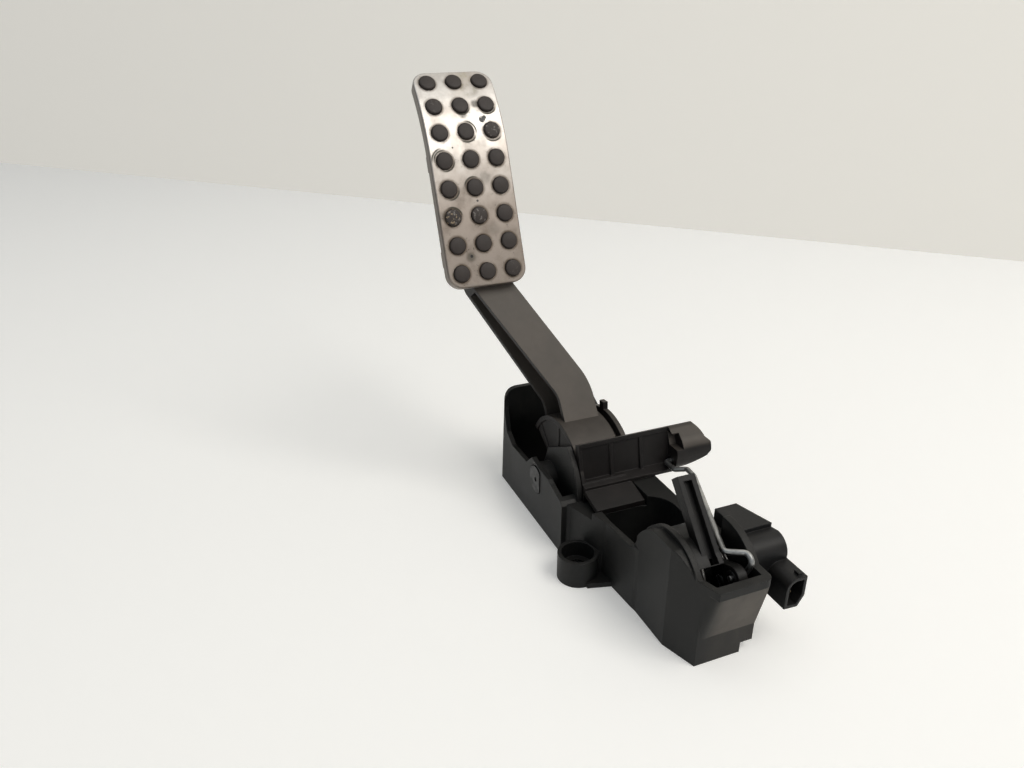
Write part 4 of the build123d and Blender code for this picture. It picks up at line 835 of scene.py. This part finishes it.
class PEDAL_OT_wire(bpy.types.Operator):
    """Finish the bent wire, the screws, the bolt sleeves and the pivot pin"""

    bl_idname = "pedal.wire"
    bl_label = "Wire link"

    def execute(self, context):
        looks = context.scene.pedal_looks
        wire_turn = (0.0, 0.0, radians(67.0))
        wire = drawn_metal("zinc_wire", looks.zinc, (0.27, 0.27, 0.265), 0.33, 0.02, wire_turn)
        dress(wire, "wire_link")
        darker_zinc = shade(looks.zinc, 0.8)[:3]
        dress(drawn_metal("zinc_hardware", darker_zinc, (0.25, 0.25, 0.25), 0.34, 0.02), "sensor_screws")
        darker_oxide = shade(looks.oxide, 0.5)[:3]
        black = drawn_metal("black_hardware", looks.oxide, darker_oxide, 0.26, 0.01)
        dress(black, "bolt_sleeves", "pivot_pin")
        return {"FINISHED"}


class PEDAL_OT_crank(bpy.types.Operator):
    """Finish the crank, the bushes and the sensor's rotor"""

    bl_idname = "pedal.crank"
    bl_label = "Crank"

    def execute(self, context):
        looks = context.scene.pedal_looks
        dress(moulded_plastic("crank_plastic", looks.crank_black, 0.42, 0.02, 0.0), "sensor_crank")
        smooth = moulded_plastic("bush_plastic", looks.bush_black, 0.2, 0.005, 0.01)
        dress(smooth, "crank_bush", "lever_bush", "pivot_bushes", "sensor_rotor")
        return {"FINISHED"}


class PEDAL_OT_springs(bpy.types.Operator):
    """Make the return springs and finish the adjuster, the crank's shaft and the pin's clip"""

    bl_idname = "pedal.springs"
    bl_label = "Springs and pins"

    def execute(self, context):
        looks = context.scene.pedal_looks
        metal = drawn_metal("spring_steel", (0.22, 0.21, 0.20), (0.11, 0.10, 0.09), 0.32, 0.02)
        for name, *sizes in SPRINGS:
            shell = coil(looks.crank_centre, *sizes)
            make_piece(name, "base", ["return_" + name], "spring_steel", *shell, metal)
        dark = drawn_metal("dark_steel", looks.steel, (0.05, 0.048, 0.046), 0.40, 0.015)
        dress(dark, "adjuster_pin", "pin_clip", "crank_shaft")
        return {"FINISHED"}


class PEDAL_OT_sensor(bpy.types.Operator):
    """Finish the sensor with its socket, contacts and board"""

    bl_idname = "pedal.sensor"
    bl_label = "Sensor"

    def execute(self, context):
        looks = context.scene.pedal_looks
        black = moulded_plastic("sensor_plastic", looks.sensor_black, 0.40, 0.03, 0.025)
        dress(black, "sensor_body", "sensor_cover")
        contact_turn = (0.0, 0.0, radians(90.0))
        contact = drawn_metal("contact_metal", looks.brass, (0.45, 0.38, 0.24), 0.28, 0.01, contact_turn)
        dress(contact, "terminals", "wiper_contacts")
        dress(fired_ceramic(looks.board, looks.crank_centre), "sensor_board")
        return {"FINISHED"}


def stage_sheet(name, points, colour, glow):
    """Plain pale sheet of the stage from four corners. The camera and mirrors see it paler by a glow."""
    mesh = bpy.data.meshes.new(name)
    mesh.from_pydata(points, [], [(0, 1, 2, 3)])
    finish = Finish(name)
    tone = finish.noise(1.3, 2.0)
    seen = finish.rays("Is Camera Ray", "Is Glossy Ray", "Is Transmission Ray")
    mesh.materials.append(
        finish.coat(
            Base_Color=finish.blend(tone, shade(colour, 0.985), opaque(colour)),
            Roughness=0.75,
            Specular_IOR_Level=0.2,
            Emission_Color=finish.blend(seen, shade(colour, 0.0), shade(colour, glow)),
            Emission_Strength=1.0,
        )
    )
    sheet = bpy.data.objects.new(name, mesh)
    bpy.context.scene.collection.objects.link(sheet)
    return sheet


def soft_light(name, power, place, target, size, colour):
    """Square area light turned to a target."""
    lamp = bpy.data.lights.new(name, "AREA")
    lamp.shape = "SQUARE"
    lamp.size = size
    lamp.energy = power
    lamp.color = colour
    light = bpy.data.objects.new(name, lamp)
    light.location = place
    aim = np.array(target) - np.array(place)
    tilt = np.arctan2(np.hypot(aim[0], aim[1]), -aim[2])
    light.rotation_euler = (tilt, 0.0, np.arctan2(-aim[0], aim[1]))
    bpy.context.scene.collection.objects.link(light)


class PEDAL_OT_stage(bpy.types.Operator):
    """Set the floor, wall, soft light and camera"""

    bl_idname = "pedal.stage"
    bl_label = "Stage"

    def execute(self, context):
        scene = context.scene
        stage = scene.pedal_stage
        square = [(-1, -1), (1, -1), (1, 1), (-1, 1)]
        flat = [(x * FLOOR_REACH, y * FLOOR_REACH, 0.0) for x, y in square]
        floor = stage_sheet("floor", flat, stage.floor_white, FLOOR_GLOW)
        reach = 3.0 * (WALL_FOOT[1] - WALL_FOOT[0])
        low, high = WALL_FOOT[0] - reach, WALL_FOOT[1] + reach
        upright = [(*low, 0.0), (*high, 0.0), (*high, WALL_HEIGHT), (*low, WALL_HEIGHT)]
        wall = stage_sheet("wall", upright, stage.wall_white, WALL_GLOW)
        soft_light("key", stage.key_power, **KEY)
        soft_light("top", stage.top_power, **TOP)
        room = Room("room")
        mirrored = room.rays("Is Glossy Ray", "Is Transmission Ray")
        strength = mirrored * (stage.room_pale - stage.sky) + stage.sky
        room.fill(room.shader, {"Color": ROOM_COLOUR, "Strength": strength})
        scene.world = room.world
        lens = bpy.data.cameras.new("camera")
        lens.lens = stage.lens
        lens.sensor_width = SENSOR_WIDTH
        lens.clip_start = 0.01
        camera = bpy.data.objects.new("camera", lens)
        camera.location = stage.camera_place
        camera.rotation_euler = stage.camera_turn
        scene.collection.objects.link(camera)
        scene.camera = camera
        scene.view_settings.view_transform = "Standard"
        return {"FINISHED"}


class PEDAL_PT_sidebar(bpy.types.Panel):
    """Lists the pieces of the pedal"""

    bl_idname = "PEDAL_PT_sidebar"
    bl_label = "Accelerator pedal"
    bl_space_type = "VIEW_3D"
    bl_region_type = "UI"
    bl_category = "Pedal"

    def draw(self, context):
        for operator in OPERATORS:
            self.layout.operator(operator.bl_idname)


OPERATORS = (
    PEDAL_OT_housing,
    PEDAL_OT_arm,
    PEDAL_OT_pad,
    PEDAL_OT_studs,
    PEDAL_OT_wire,
    PEDAL_OT_crank,
    PEDAL_OT_springs,
    PEDAL_OT_sensor,
    PEDAL_OT_stage,
)
CLASSES = (PedalLooks, PedalStage, *OPERATORS, PEDAL_PT_sidebar)


def register():
    for entry in CLASSES:
        bpy.utils.register_class(entry)
    bpy.types.Scene.pedal_looks = PointerProperty(type=PedalLooks)
    bpy.types.Scene.pedal_stage = PointerProperty(type=PedalStage)


def unregister():
    del bpy.types.Scene.pedal_stage
    del bpy.types.Scene.pedal_looks
    for entry in reversed(CLASSES):
        bpy.utils.unregister_class(entry)


def main():
    register()
    bpy.ops.pedal.housing()
    bpy.ops.pedal.arm()
    bpy.ops.pedal.pad()
    bpy.ops.pedal.studs()
    bpy.ops.pedal.wire()
    bpy.ops.pedal.crank()
    bpy.ops.pedal.springs()
    bpy.ops.pedal.sensor()
    bpy.ops.pedal.stage()


if __name__ == "__main__":
    main()
